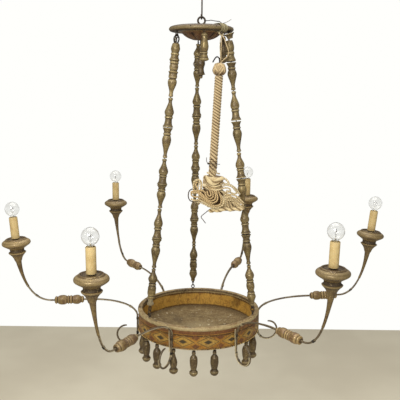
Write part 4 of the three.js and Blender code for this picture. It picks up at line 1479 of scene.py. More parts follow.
class DropStyle(Enum):
    """Profiles of the turned drops, from the tip: share of length, share of radius."""

    ACORN = (
        *DROP_TIP, (0.25, 0.73), (0.27, 0.66), (0.3, 0.67), (0.34, 0.74), (0.42, 0.84), (0.5, 0.9), (0.58, 0.93),
        (0.66, 0.92), (0.72, 0.87), (0.77, 0.76), (0.81, 0.6), (0.85, 0.44), (0.88, 0.38), *DROP_NECK)
    SLIM = (
        *DROP_TIP, (0.25, 0.74), (0.27, 0.66), (0.3, 0.68), (0.35, 0.77), (0.42, 0.85), (0.47, 0.86),
        (0.53, 0.81), (0.6, 0.69), (0.68, 0.55), (0.75, 0.43), (0.81, 0.34), (0.85, 0.3), (0.88, 0.34),
        *DROP_NECK)
    FLARED = (
        (0, 0.2), (0.01, 0.5), (0.03, 0.78), (0.05, 0.95), (0.085, 1), (0.105, 0.92), (0.14, 0.8), (0.2, 0.7),
        (0.26, 0.66), (0.285, 0.74), (0.31, 0.74), (0.33, 0.67), (0.36, 0.7), (0.42, 0.82), (0.5, 0.88),
        (0.58, 0.84), (0.68, 0.76), (0.78, 0.66), (0.85, 0.6), (0.9, 0.6), (0.925, 0.66), (0.95, 0.64),
        (0.97, 0.56), (0.985, 0.58), (1, 0.5))


@dataclass
class TurnedDrop:
    """A turned pendant on a small wire staple."""

    shop: Shop
    length: float = 82.0
    radius: float = 14.0
    top: float = -8.9

    def build(self, node: str, body: str, home: Matrix, finish: AgedFinish, style: DropStyle) -> None:
        """Makes one drop.

        Args:
            node: Node that it replaces.
            body: Body that it rides on.
            home: Place of the wood's face that it hangs under.
            finish: Its finish.
            style: Its profile.
        """
        shop, top, tip = self.shop, self.top, self.top - self.length
        radius = self.radius * shop.dice.between(0.96, 1.0)
        profile = [(0.0, tip), *between(tip, top, shop.shaken(style.value, 0.97, 1.03), radius), (0.0, top)]
        last = len(profile) - 1
        piece = Piece(f"{node}_turned", body, Slot.GILT_WOOD, (node,), home)
        piece.add(shop.lathe.turned(profile, 26, 2, (last - 1, last), 3.2, 0.2), shop.dress(finish))
        wire = shop.dress(IRON_DARK)
        piece.add(shop.staple(), wire, shift(0, 0, top) @ turn(180, "X"))
        piece.add(shop.bench.winding(upright(top - 4.5, top + 1.2, 6), 5.4, 0.8, 2.4), wire)
        piece.build()


@dataclass
class Tray:
    """Round wooden hoop with a rolled rim, painted lozenges, a board in its foot and drops under it."""

    shop: Shop
    height: float = 72.0
    floor_top: float = 62.0
    floor_foot: float = 69.0
    floor_radius: float = 187.6
    lozenges: int = 16
    lozenge_start: float = 3.0
    lozenge_depth: float = 47.0
    lozenge_half: Point = (38.0, 19.5)
    chips: int = 46
    beads: int = 300
    WALL: ClassVar[tuple[Point, ...]] = (
         (189, 72), (197.2, 72), (197.9, 71.2), (197.9, 69.2), (197, 68.4), (197.3, 67.4), (197.5, 56),
        (197.3, 46), (197.4, 36), (197.4, 25.4), (198, 24.6), (198, 23.4), (196.8, 22.8), (189, 22.6),
        (189, 72))
    BAND: ClassVar[tuple[Point, ...]] = (
         (189, 24), (197, 24), (197.5, 20), (197.7, 16), (197.2, 12), (189, 12), (189, 24))
    FOOT_LINE: ClassVar[tuple[Point, ...]] = (
         (189, 72), (198.1, 72), (198.3, 71.4), (198.3, 68.4), (197.8, 67.6), (189, 67.6), (189, 72))
    LINING: ClassVar[tuple[Point, ...]] = (
         (180.2, 72), (189.5, 72), (189.5, 11), (188.2, 11), (188, 14), (188.2, 17), (188.3, 20.5),
        (188.2, 24), (188.2, 30), (188.3, 38), (188.2, 46), (188.2, 52), (188.2, 56), (188.2, 59),
        (188.2, 61), (188.2, 69.3), (180.2, 69.3), (180.2, 72))
    RIM: ClassVar[tuple[Point, ...]] = (
         (186, 13.4), (197.4, 13.2), (198.6, 12.2), (198.4, 11.2), (199.4, 10), (200, 7), (199.4, 3.6),
        (197.6, 1.4), (194, 0.3), (190, 0.1), (186.6, 0.7), (184.6, 2.6), (184, 5.4), (184.6, 8.4),
        (186, 10.6), (186, 13.4))

    def build(self) -> None:
        """Makes hoop, ornament, board, debris and drops."""
        self._hoop()
        self._ornament()
        self._floor()
        self._debris()
        for place in TRAY_DROPS:
            TurnedDrop(self.shop).build(
                f"tray_drop_{place}", f"tray_pendant_{place}", station(185, place, HEIGHTS.rim - self.height),
                DROP_BROWN, DropStyle.ACORN if place % 60 else DropStyle.SLIM)

    def _turned(self, profile: Sequence[Point], wobble: float) -> Solid:
        """A band of the hoop from radii and depths below the rim."""
        return self.shop.lathe.turned([(r, HEIGHTS.rim - depth) for r, depth in profile], 180, 1, (), 3, wobble)

    def _hoop(self) -> None:
        """Turned wall, lining and rim, with their eyes and staples."""
        shop, rim = self.shop, HEIGHTS.rim
        iron = shop.dress(IRON_DARK)
        piece = Piece("tray_hoop", "tray", Slot.PAINTED_WOOD, ("tray_wall",))
        # wall darker under the red band's lip and near its foot: painted shade
        wall = self._shaded_bands(self._turned(self.WALL, 0.12), ((71, 2.4, 0.5), (26, 3.0, 0.35)))
        piece.add(wall, shop.dress(WALL_OCHRE))
        piece.add(self._turned(self.BAND, 0.12), shop.dress(WALL_RED))
        piece.add(self._turned(self.FOOT_LINE, 0.05), shop.dress(LOZENGE_LINE))
        # lining darker under the rim and just above the board: painted shade
        lining = self._shaded_bands(self._turned(self.LINING, 0.1), ((14.5, 5.5, 0.62), (61.5, 3.6, 0.5)))
        piece.add(lining, shop.dress(INNER_OCHRE))
        rolled = [(r, rim - depth) for r, depth in self.RIM]
        piece.add(shop.lathe.turned(rolled, 200, 2, (0, 1, 14), 4, 0.45), shop.dress(RIM_WORN))
        for chain in CHAINS:
            shop.eye(piece, IRON_DARK, station(CHAIN_FOOT_RADIUS, chain.place, rim) @ turn(180, "X"))
        for place in TRAY_DROPS:
            piece.add(shop.staple(), iron, station(185, place, rim - self.height) @ turn(90))
        piece.build()

    def _shaded_bands(self, solid: Solid, bands: Sequence[Place]) -> Solid:
        """Marks wavy darker bands on a hoop, painted shade where a ledge or the board meets it.

        Args:
            solid: The hoop.
            bands: Depth below the rim, half width and strength of each band.

        Returns:
            The same hoop.
        """
        angle = np.arctan2(solid.points[:, 1], solid.points[:, 0])
        for depth, half, strength in bands:
            wave = self.shop.dice.waves(14, half * 0.5)(angle)
            away = (HEIGHTS.rim - depth - solid.points[:, 2] + wave) / half
            solid.ridge -= strength * np.exp(-away ** 2)
        np.clip(solid.ridge, 0, 1, out=solid.ridge)
        return solid

    def _patch(self, half: Point, place: float, radius: float, thick: float) -> Solid:
        """A thin lozenge bent round the wall.

        Args:
            half: Half its width and half its height.
            place: Its azimuth.
            radius: Radius of its face.
            thick: Its thickness.

        Returns:
            The solid.
        """
        offset = self.shop.dice.point()
        (across, down, layer), faces = slab(10, 14, (radius, radius - thick))
        v = -1 + 2 * down
        x, z = (-1 + 2 * across) * (1 - np.abs(v)) * half[0], HEIGHTS.rim - self.lozenge_depth + v * half[1]
        angle = math.radians(place) + x / radius
        grain = np.stack([x, layer - radius, z], -1) * MM + offset
        points = np.stack([layer * np.cos(angle), layer * np.sin(angle), z], -1)
        return Solid(points, faces, np.full(len(x), 0.5), grain, self.shop.dice.between(0.3, 0.8))

    def _ornament(self) -> None:
        """Lozenges, the red corners between them and the row of gilt beads."""
        shop, dice = self.shop, self.shop.dice
        gold, line, dark, red = (shop.dress(f) for f in (LOZENGE_GOLD, LOZENGE_LINE, LOZENGE_DARK, WALL_RED))
        piece = Piece("tray_ornament", "tray", Slot.PAINTED_WOOD)
        a, b = self.lozenge_half
        for i in range(self.lozenges):
            place = self.lozenge_start + i * 360 / self.lozenges
            for wide, tall, radius, thick, finish in (
                    (1, 1, 197.78, 0.8, gold), (0.94, 0.92, 197.86, 0.9, line), (0.84, 0.79, 197.94, 0.9, gold),
                    (0.38, 0.36, 198.02, 1.0, line), (0.31, 0.28, 198.1, 1.0, dark)):
                piece.add(self._patch((a * wide, b * tall), place, radius, thick), finish)
            for height in (-13.5, 13.5):
                corner = self._patch((13, 8), place + 180 / self.lozenges, 197.74, 0.8)
                piece.add(corner, red, shift(0, 0, height))
        for i in range(self.beads):
            if dice.between(0, 1) < 0.12:
                continue
            r = dice.between(1.3, 1.8)
            profile = [(0, -r), (r * 0.75, -r * 0.66), (r, 0), (r * 0.75, r * 0.66), (0, r)]
            ball = shop.lathe.turned(profile, 8, 1)
            # high ridge paints each bead in the crest colour: a painted highlight
            ball.ridge[:] = 0.9
            place = i * 360 / self.beads + dice.between(-0.1, 0.1)
            piece.add(ball, gold, station(198.5, place, HEIGHTS.rim - 70 + dice.between(-0.3, 0.3)))
        piece.build()

    def _floor(self) -> None:
        """Dusty board in the hoop's foot."""
        shop, rim = self.shop, HEIGHTS.rim
        piece = Piece("tray_board", "tray", Slot.BOARD_WOOD, ("tray_floor",))
        sag = shop.dice.waves(5, 0.3)
        (across, down, depth), faces = slab(30, 48, (self.floor_top, self.floor_foot))
        u, v = -1 + 2 * across, -1 + 2 * down
        x, y = self.floor_radius * u * np.sqrt(1 - v * v / 2), self.floor_radius * v * np.sqrt(1 - u * u / 2)
        z = rim - depth + np.minimum(0, sag(3 * u + 2 * v) - 0.15) * (depth == self.floor_top)
        grain = np.stack([x, z, y], -1) * MM + shop.dice.point()
        # paler in a patch near the centre and darker towards the wall, the latter painted shade at the wall's
        # foot
        centre_patch = np.exp(-(x ** 2 + (y + 35) ** 2) / 70 ** 2)
        marks = 0.5 + 0.4 * centre_patch - 0.26 * np.clip((np.hypot(x, y) - 120) / 60, 0, 1)
        board = Solid(np.stack([x, y, z], -1), faces, np.clip(marks, 0, 1), grain, 0.5)
        piece.add(board, shop.dress(BOARD_DUSTY)).build(20)

    def _debris(self) -> None:
        """Chips and flakes lying on the board."""
        shop, dice = self.shop, self.shop.dice
        piece = Piece("tray_debris", "tray", Slot.BOARD_WOOD)
        for _ in range(self.chips):
            r, a = 165 * math.sqrt(dice.between(0, 1)), dice.between(0, 360)
            wide = dice.between(1.2, 4.4)
            outline = [(0, 0), (wide, 0.1), (wide * 0.9, 0.9), (0, 1.1)]
            flake = shop.lathe.turned(outline, 7, 1, (), 4, wide * 0.25)
            squash = stretch(1.0, dice.between(0.3, 0.8))
            piece.add(flake, shop.dress(DEBRIS), station(r, a, HEIGHTS.rim - self.floor_top - 0.2) @ squash)
        piece.build(20)


@dataclass
class ScrollArm:
    """One iron arm with its bead, wooden cup, candle and lamp."""

    shop: Shop
    size: ArmSize
    bead_half: float = 46.5
    seat_reach: float = 376.0
    pan_floor: float = 61.3
    sleeve_length: float = 70.0
    BEAD: ClassVar[tuple[Point, ...]] = (
         (0, 0.46), (0.02, 0.62), (0.05, 0.74), (0.075, 0.7), (0.09, 0.62), (0.115, 0.74), (0.17, 0.93),
        (0.23, 1), (0.3, 0.97), (0.36, 0.86), (0.39, 0.74), (0.405, 0.84), (0.44, 0.93), (0.47, 0.86),
        (0.485, 0.74), (0.5, 0.82), (0.53, 0.92), (0.56, 0.84), (0.575, 0.74), (0.6, 0.88), (0.67, 1.02),
        (0.75, 1.04), (0.83, 0.97), (0.88, 0.8), (0.9, 0.66), (0.92, 0.76), (0.95, 0.82), (0.975, 0.7),
        (0.99, 0.56), (1, 0.46))
    CUP: ClassVar[tuple[Point, ...]] = (
         (0, -12.6), (8.5, -12.4), (10.7, -8.5), (12.4, -4), (13.6, 0.2), (16.5, 5.4), (20.5, 10.6),
        (24.6, 14.8), (26.6, 17.2), (27.2, 19.2), (25.6, 20.4), (22.9, 21.4), (22.2, 23.4), (22, 28.6),
        (23.4, 31.2), (24, 32), (28, 34.8), (33.5, 38.2), (39.2, 41.9), (43.2, 45.2), (44.5, 48.6),
        (44, 52.6), (41.2, 56), (37.2, 58.6), (34.2, 59.9), (33.2, 60.6), (32.2, 62.6), (29.6, 64),
        (27.2, 63.2), (26.2, 61.6), (24.8, 60.7), (0, 60.7))
    SLEEVE: ClassVar[tuple[Point, ...]] = (
         (11.6, 3.2), (12.7, 3.2), (13, 3.7), (13, 36), (13, 69.2), (12.6, 70), (11.6, 70), (11.3, 69.4),
        (11.4, 40), (11.4, 3.4), (11.6, 3.2))
    HOLDER: ClassVar[tuple[Point, ...]] = (
         (0, 0.1), (10.2, 0.1), (10.5, 0.6), (10.5, 3), (10.8, 10), (10.8, 60), (10.9, 67.6), (10.6, 68.4),
        (9.4, 68.5), (7.4, 68.2), (7.3, 66), (7.3, 44), (0, 44))

    def __post_init__(self) -> None:
        """Places the ends of the arch, the rise to the cup and the seat."""
        size, lean = self.size, math.radians(8)
        self._start, self._end = (size.bead - 54.5, size.arch), (size.bead + 54.5, size.arch)
        self._rise = (self._end, (size.bead + 109.5, size.arch),
                      (self.seat_reach - 90 * math.sin(lean), size.seat - 90 * math.cos(lean)),
                      (self.seat_reach, size.seat))
        self._home = station(ROD_LINE, size.place, HEIGHTS.rim) @ turn(size.turn)
        self._seat = shift(self.seat_reach, 0, size.seat) @ turn(size.lean, "Y")

    def build(self) -> None:
        """Makes the arm from its curl to its lamp."""
        self._rod()
        self._bead()
        self._cup()
        self._candle()
        self._bulb()
        self._fitting()

    def _piece(self, name: str, node: str, slot: Slot, place: Matrix | None = None,
               body: str = "tray") -> Piece:
        """A piece named after the arm.

        Args:
            name: Its name without the azimuth.
            node: The same for the node that it replaces, empty where it replaces none.
            slot: Its material slot.
            place: Place of its sketch in the arm's.
            body: Body that it rides on.

        Returns:
            The piece.
        """
        azimuth = self.size.place
        return Piece(f"{name}_{azimuth}", body, slot, (f"{node}_{azimuth}",) if node else (),
                     self._home if place is None else self._home @ place)

    def _line(self) -> np.ndarray:
        """Centre line of the rod.

        Returns:
            Its points from the curl to the cup.
        """
        arch = self.size.arch
        return chained(
            arc(36, -88, (28, 36), (452, 180), 70),
            straight((0, 0, -88), (0, 0, -30), 20),
            bezier(((0, -30), (0, 4), (self._start[0] - 110, arch), self._start), 46),
            straight((self._start[0], 0, arch), (self._end[0], 0, arch), 16),
            bezier(self._rise, 40, 0, 0.78))

    def _rod(self) -> None:
        """Rod with its strap and the ties round it."""
        shop, line = self.shop, self._line()
        iron, black, tan = (shop.dress(f) for f in (ARM_IRON, BLACK_IRON, TWINE_TAN))
        bump = shop.dice.waves(9, 0.06)(np.linspace(0, 12, len(line)))
        radius = ROD_RADIUS * (0.99 + np.minimum(bump, 0))
        radius[:6] *= np.linspace(0.7, 1, 6)
        piece = self._piece("arm_iron", "arm_rod", Slot.IRON)
        piece.add(shop.bench.wire(line, radius, 12), iron)
        piece.add(self._strap(), iron, turn(-self.size.turn))
        for share, turns in ((0.30, 3), (0.36, 7), (0.44, 4), (0.86, 4)):
            i = int(share * len(line)) + int(shop.dice.between(-3, 3))
            piece.add(shop.bench.winding(line[i:i + 4], ROD_RADIUS + 0.6, 1.2, turns), black)
        for share, turns in ((0.345, 6), (0.55, 4)):
            i = int(share * len(line))
            piece.add(shop.bench.winding(line[i:i + 4], ROD_RADIUS + 0.7, 1.4, turns), tan)
        piece.build()
        self._flex(line)

    def _strap(self) -> Solid:
        """Flat iron strip that holds the rod to the wall.

        Returns:
            The solid.
        """
        x0, x1 = -ROD_RADIUS, -ROD_RADIUS + 2.4
        outline = [(x0, -3.9), (x0, 3.9), (x0 + 0.5, 4.5), (x1 - 0.4, 4.5), (x1, 4.0), (x1, -4.0),
                   (x1 - 0.4, -4.5), (x0 + 0.5, -4.5)]
        levels = np.linspace(-66, -24, 9)
        taper = [0.86, *[1.0] * 7, 0.86]
        points = np.array([(x, y * narrow, z) for z, narrow in zip(levels, taper) for x, y in outline])
        count, last = len(outline), len(points) - len(outline)
        faces = [(k + (j + 1) % count, k + j, k + count + j, k + count + (j + 1) % count)
                 for k in range(0, last, count) for j in range(count)]
        faces += [tuple(range(count)), tuple(reversed(range(last, last + count)))]
        return Solid(points, faces, np.full(len(points), 0.6), points * MM + self.shop.dice.point(), 0.5)

    def _flex(self, line: np.ndarray) -> None:
        """Cords along the rod: over the rim to the bead, from the bead to the cup, round the curl, up the wall.

        Args:
            line: Centre line of the rod.
        """
        piece = self._piece("arm_flex", "", Slot.CORD)
        for run, side, swings, sway, radius, lay, steps, finish in (
                (line[90:137], 4.2, 9, (0, 0.4, 0.9), 1.25, 7, 1, FLEX_GREY),
                (bezier(self._rise, 34, 0.02, 0.6), 3.99, 7, (0, 0.2, 0.6), 1.2, 7, 1, FLEX_GREY),
                (line[22:76], -4.116, 8, (0.7, 0.5, 0), 1.2, 6, 1, FLEX_CREAM),
                (straight((1.6, 0, -84), (1.6, 0, -14), 12), -6.6, 6, (0.3, 0.7, 0), 1.2, 6, 3, FLEX_CREAM)):
            wave = np.sin(np.linspace(0, swings, len(run)))[:, None] * sway
            piece.add(self.shop.cord(run + (0, side, 0) + wave, radius, lay, steps), self.shop.dress(finish))
        piece.build()

    def _bead(self) -> None:
        """Turned bead on the arch of the rod."""
        shop, half = self.shop, self.bead_half
        outside = between(-half, half, shop.shaken(self.BEAD, 0.98, 1.02), 15)
        profile = [(3.3, -half), *outside, (3.3, half), (3.3, -half)]
        last = len(profile) - 1
        solid = shop.lathe.turned(profile, 40, 2, (0, 1, last - 2, last - 1), 3.5, 0.45)
        place = shift(self.size.bead, 0, self.size.arch) @ turn(90, "Y")
        piece = self._piece("arm_bead_turned", "arm_bead", Slot.GILT_WOOD, place)
        piece.add(solid, shop.dress(BEAD_ROSE)).build()

    def _cup(self) -> None:
        """Turned cup on the carved stem that takes the rod's end."""
        shop, gilt = self.shop, self.shop.dress(CUP_GILT)
        piece = self._piece("cup_turned", "candle_cup", Slot.GILT_WOOD)
        piece.add(shop.lathe.turned(self.CUP, 64, 2, (0, 1, 9, 11, 15, 24, 25, 30), 5, 0.35), gilt, self._seat)
        stem = bezier(self._rise, 40, 0.56, 0.999)
        radius = 3.9 + 6.6 * np.linspace(0, 1, len(stem)) ** 2.4
        radius[0] = 3.3
        piece.add(shop.bench.wire(stem, radius, 20), gilt).build()

    def _candle(self) -> None:
        """Ivory sleeve with the black lamp holder in it."""
        shop = self.shop
        piece = self._piece("candle_sleeve", "candle", Slot.IVORY, self._seat @ shift(0, 0, self.pan_floor))
        tube = shop.lathe.turned(self.SLEEVE, 40, 2, (0, 1, 2, 4, 5, 6, 9), 5, 0.15)
        piece.add(tube, shop.palette.sleeve())
        piece.add(shop.lathe.turned(self.HOLDER, 36, 1, (), 4), shop.dress(BLACK_FITTING)).build()

    def _lamp(self, name: str, node: str) -> Piece:
        """A piece of the lamp on top of the sleeve."""
        place = self._seat @ shift(0, 0, self.pan_floor + self.sleeve_length)
        return self._piece(name, node, Slot.GLASS, place, f"lamp_{self.size.place}")

    def _bulb(self) -> None:
        """Thin round glass."""
        centre, radius, wall = 27.0, 22.3, 0.55
        outer = [(6.2, -2), (6.6, 1), (8, 4.6), (11, 7.6),
                 *dome(radius, centre, (-50, -38, -24, -8, 8, 24, 40, 55, 70, 82)), (0.0, centre + radius)]
        inner = [(max(r - wall, 0), z if i < 3 else centre + (z - centre) * (1 - wall / radius))
                 for i, (r, z) in enumerate(outer)]
        glass = self.shop.lathe.turned([*outer, *reversed(inner), outer[0]], 48, 2, (14, 15, 29), 6)
        self._lamp("bulb_glass", "bulb").add(glass, self.shop.palette.glass()).build(60)

    def _fitting(self) -> None:
        """Threaded cap, glass stem and filament of the lamp."""
        shop, piece = self.shop, self._lamp("bulb_fitting", "")
        thread = [(6.1 + 0.55 * (k % 2), -21.4 + k * 1.7) for k in range(9)]
        cap = [(0, -24.2), (3.6, -24.2), (4.2, -22.6), *thread, (6.4, -5), (6.7, -1), (6.2, 0.8), (0, 0.8)]
        piece.add(shop.lathe.turned(cap, 28, 2, (0, 1)), shop.dress(CAP_BRASS))
        stem = [(0, 0), (3.4, 0.6), (2.6, 4), (1.7, 9), (1.9, 13), (1.5, 15), (0, 15.4)]
        piece.add(shop.lathe.turned(stem, 14, 2), shop.palette.glass())
        steel, facing = shop.dress(FILAMENT_WIRE), turn(shop.dice.between(0, 180))
        for side in (1, -1):
            lead = smooth_line([(side * 1.2, 0, 13), (side * 4.2, 0, 19), (side * 6.4, 0, 26.4)], 6)
            piece.add(shop.bench.wire(lead, 0.28, 6), steel, facing)
        zigzag = [(-6.4, 0, 26.4), (-3.4, 1.5, 31.6), (-1.8, -1.2, 25.6), (0, 1.2, 32.4), (1.8, -1.2, 25.6),
                  (3.4, 1.5, 31.6), (6.4, 0, 26.4)]
        piece.add(shop.bench.wire(smooth_line(zigzag, 8), 0.35, 6), steel, facing)
        piece.add(shop.bench.wire(upright(15, 31, 4), 0.3, 6), steel).build()


class CordTone(Enum):
    """Finishes of the skirt's cords."""

    CREAM = SKIRT_CREAM
    FADED = SKIRT_FADED
    OCHRE = SKIRT_OCHRE


@dataclass(frozen=True)
class Strand:
    """One cord laid in the tassel's frame: its points, radius and finish."""

    points: tuple[tuple[float, float, float], ...]
    radius: float = 2.4
    tone: CordTone = CordTone.CREAM


HEAD_FOLD = (
    (-24, -22, -430.7), (-18.1, -26, -437.2), (2.2, -28, -449), (20.5, -26, -438.8), (31.3, -20, -431.6))
HEAD_BAND = (
    (-24.6, -18, -449.6), (-14.1, -25, -452.9), (2.7, -27, -457), (19.7, -25, -453.1), (31.8, -18, -446.8))
HEAD_EDGE = (
    (-19.1, -18, -459.9), (-8.9, -24, -465.8), (5.9, -26, -468.3), (21.2, -24, -465.8), (32.7, -18, -461.1))
HEM_LINE = (
    (-5.3, -18, -530.3), (8.2, -22, -528.7), (24.7, -24, -526.6), (42.9, -24, -521.7), (61.5, -22, -521.6),
    (80.8, -18, -519.3), (96.4, -12, -515.1))
SKIRT_STRANDS = (
    Strand(((-53.9, -22, -469.5), (-56.6, -26, -455), (-56, -30, -443.9), (-50.3, -32, -435.8),
        (-40.9, -31, -434.8), (-34, -28, -442.5), (-32.5, -26, -457.6), (-36, -24, -469.9)), 3.2),
    Strand(((-45.5, -28, -440.4), (-49.9, -32, -448.1), (-46.2, -36, -458.4), (-37.5, -38, -470.9),
        (-23.7, -38, -481.5), (-14.2, -38, -490.8)), 2.8, CordTone.OCHRE),
    Strand(((-38.7, -26, -440.9), (-41.1, -30, -451.9), (-42.1, -31, -465.8), (-36.4, -30, -478)), 2.4,
        CordTone.FADED),
    Strand(((-15.8, -34, -474.8), (-29.8, -30, -467), (-46.6, -32, -467.7), (-61.3, -34, -472.4),
        (-59.8, -36, -475.4), (-46.6, -40, -472.3), (-37.1, -42, -477), (-24.3, -42, -486.4),
        (-9.6, -42, -497), (4.7, -42, -501.7), (15.9, -42, -495.4), (19.2, -41, -483.9), (15.7, -36, -471),
        (11.8, -28, -464.2)), 2.6, CordTone.OCHRE),
    Strand(((-53.6, -30, -468.5), (-40, -37, -469.6), (-27.3, -40, -478), (-15, -40, -489.6),
        (-1.7, -40, -495.9), (10.1, -40, -489.9), (12.4, -39, -477.8), (8.2, -33, -467.3),
        (4.4, -24, -462.8)), tone=CordTone.OCHRE),
    Strand(((-21, -30, -469.6), (-18.2, -38, -477.4), (-11.5, -40, -486.3), (-1.3, -40, -488.1),
        (5, -40, -480.9), (3.2, -36, -470.9), (-1, -26, -464.7)), tone=CordTone.OCHRE),
    Strand(((-13.2, -32, -468.2), (-11.5, -38, -476.1), (-7, -40, -480.7), (-2, -40, -477.3),
        (-3.6, -37, -469.9), (-6.5, -28, -465.3)), 2.2, CordTone.OCHRE),
    Strand(((-62.4, -30, -475.3), (-60.7, -33, -482.7), (-51.2, -35, -487.4), (-37.7, -37, -486.8),
        (-25.2, -39, -492.2), (-11.8, -40, -500.9), (3.4, -40, -508), (18.7, -40, -509), (29.5, -38, -503.7),
        (30.5, -36, -490.3), (25.2, -32, -474.5), (19.3, -24, -465)), 2.6, CordTone.OCHRE),
    Strand(((-61.2, -22, -496.5), (-51.1, -27, -499.4), (-39, -31, -496.1), (-25.9, -34, -499.7),
        (-10.1, -36, -507.4), (6.3, -37, -514.3), (22.8, -36, -513.8), (36, -34, -507.1), (37.7, -30, -494),
        (30, -26, -478.3)), 2.8),
    Strand(((-45.8, -20, -505.9), (-33.5, -25, -504.9), (-19.1, -28, -509.7), (-4, -30, -515.3),
        (10.5, -30, -520.7), (25.8, -30, -519.1)), 2.4, CordTone.FADED),
    Strand(((29.7, -4, -426.2), (40.5, -6, -430.2), (49.6, -8, -438.8), (51.4, -8, -446.2),
        (43.5, -6, -448.2), (33.9, -4, -442.2)), 3.4, CordTone.FADED),
    Strand(((30.1, -22, -450.9), (44.5, -24, -446), (59.6, -22, -449.4), (70.4, -18, -459.7),
        (78.4, -14, -469.2), (69.6, -16, -472.9), (56.6, -20, -467.7), (45.8, -22, -463.7)), 2.8,
        CordTone.FADED),
    Strand(((31.8, -24, -458.6), (45, -26, -454.4), (56.4, -24, -459), (52.7, -24, -466.7),
        (38, -26, -468.5)), 2.5),
    Strand(((32, -10, -444.5), (50, -10, -445.3), (66.7, -8, -452.1), (78.8, -4, -462.7), (87.2, -2, -473.8)),
        2.8, CordTone.FADED),
    Strand(((40.3, -26, -475.8), (56.9, -24, -474.2), (73.9, -18, -478.5), (86.6, -12, -486.3),
        (97.9, -6, -495.5)), 2.6),
    Strand(((46.5, -28, -486.3), (57.3, -26, -481.6), (71.1, -21, -485.4), (85.4, -14, -493.6),
        (98.9, -8, -503)), 2.6),
    Strand(((50.6, -30, -493.2), (64.9, -26, -492.7), (80.5, -20, -500.1), (96.7, -12, -510.6)), 2.4),
    Strand(((-17.7, -14, -412.8), (-7.1, -18, -416.6), (4.5, -20, -424.3), (12.4, -16, -431.8)), 2.6),
    Strand(((-6, -14, -402.8), (4.8, -15, -408.8), (15.1, -10, -413.8), (21.6, -4, -415.5)), 2.2),
)
SKIRT_WIRES = (
     (((-52.5, -10, -468.5), (-61.8, -14, -467.2), (-69.3, -18, -474.5), (-70.7, -20, -488),
    (-65.9, -22, -499.9), (-55.2, -22, -504.3), (-40, -22, -500.8)), 1.7), (((-6, -20, -529.3),
    (-14.8, -21, -537.2), (-27.1, -22, -549.8), (-21.5, -22, -558.9), (-12.2, -22, -569.8)), 1.2),
    (((20.4, -6, -385.8), (11.3, -12.6, -385.3), (-1.1, -15.2, -384.5), (-12.1, -13.6, -384.8),
    (-16.3, -11, -385.3), (-19.6, -10, -381.3), (-21.6, -9, -374.7), (-21.8, -8, -366.8)), 1),)


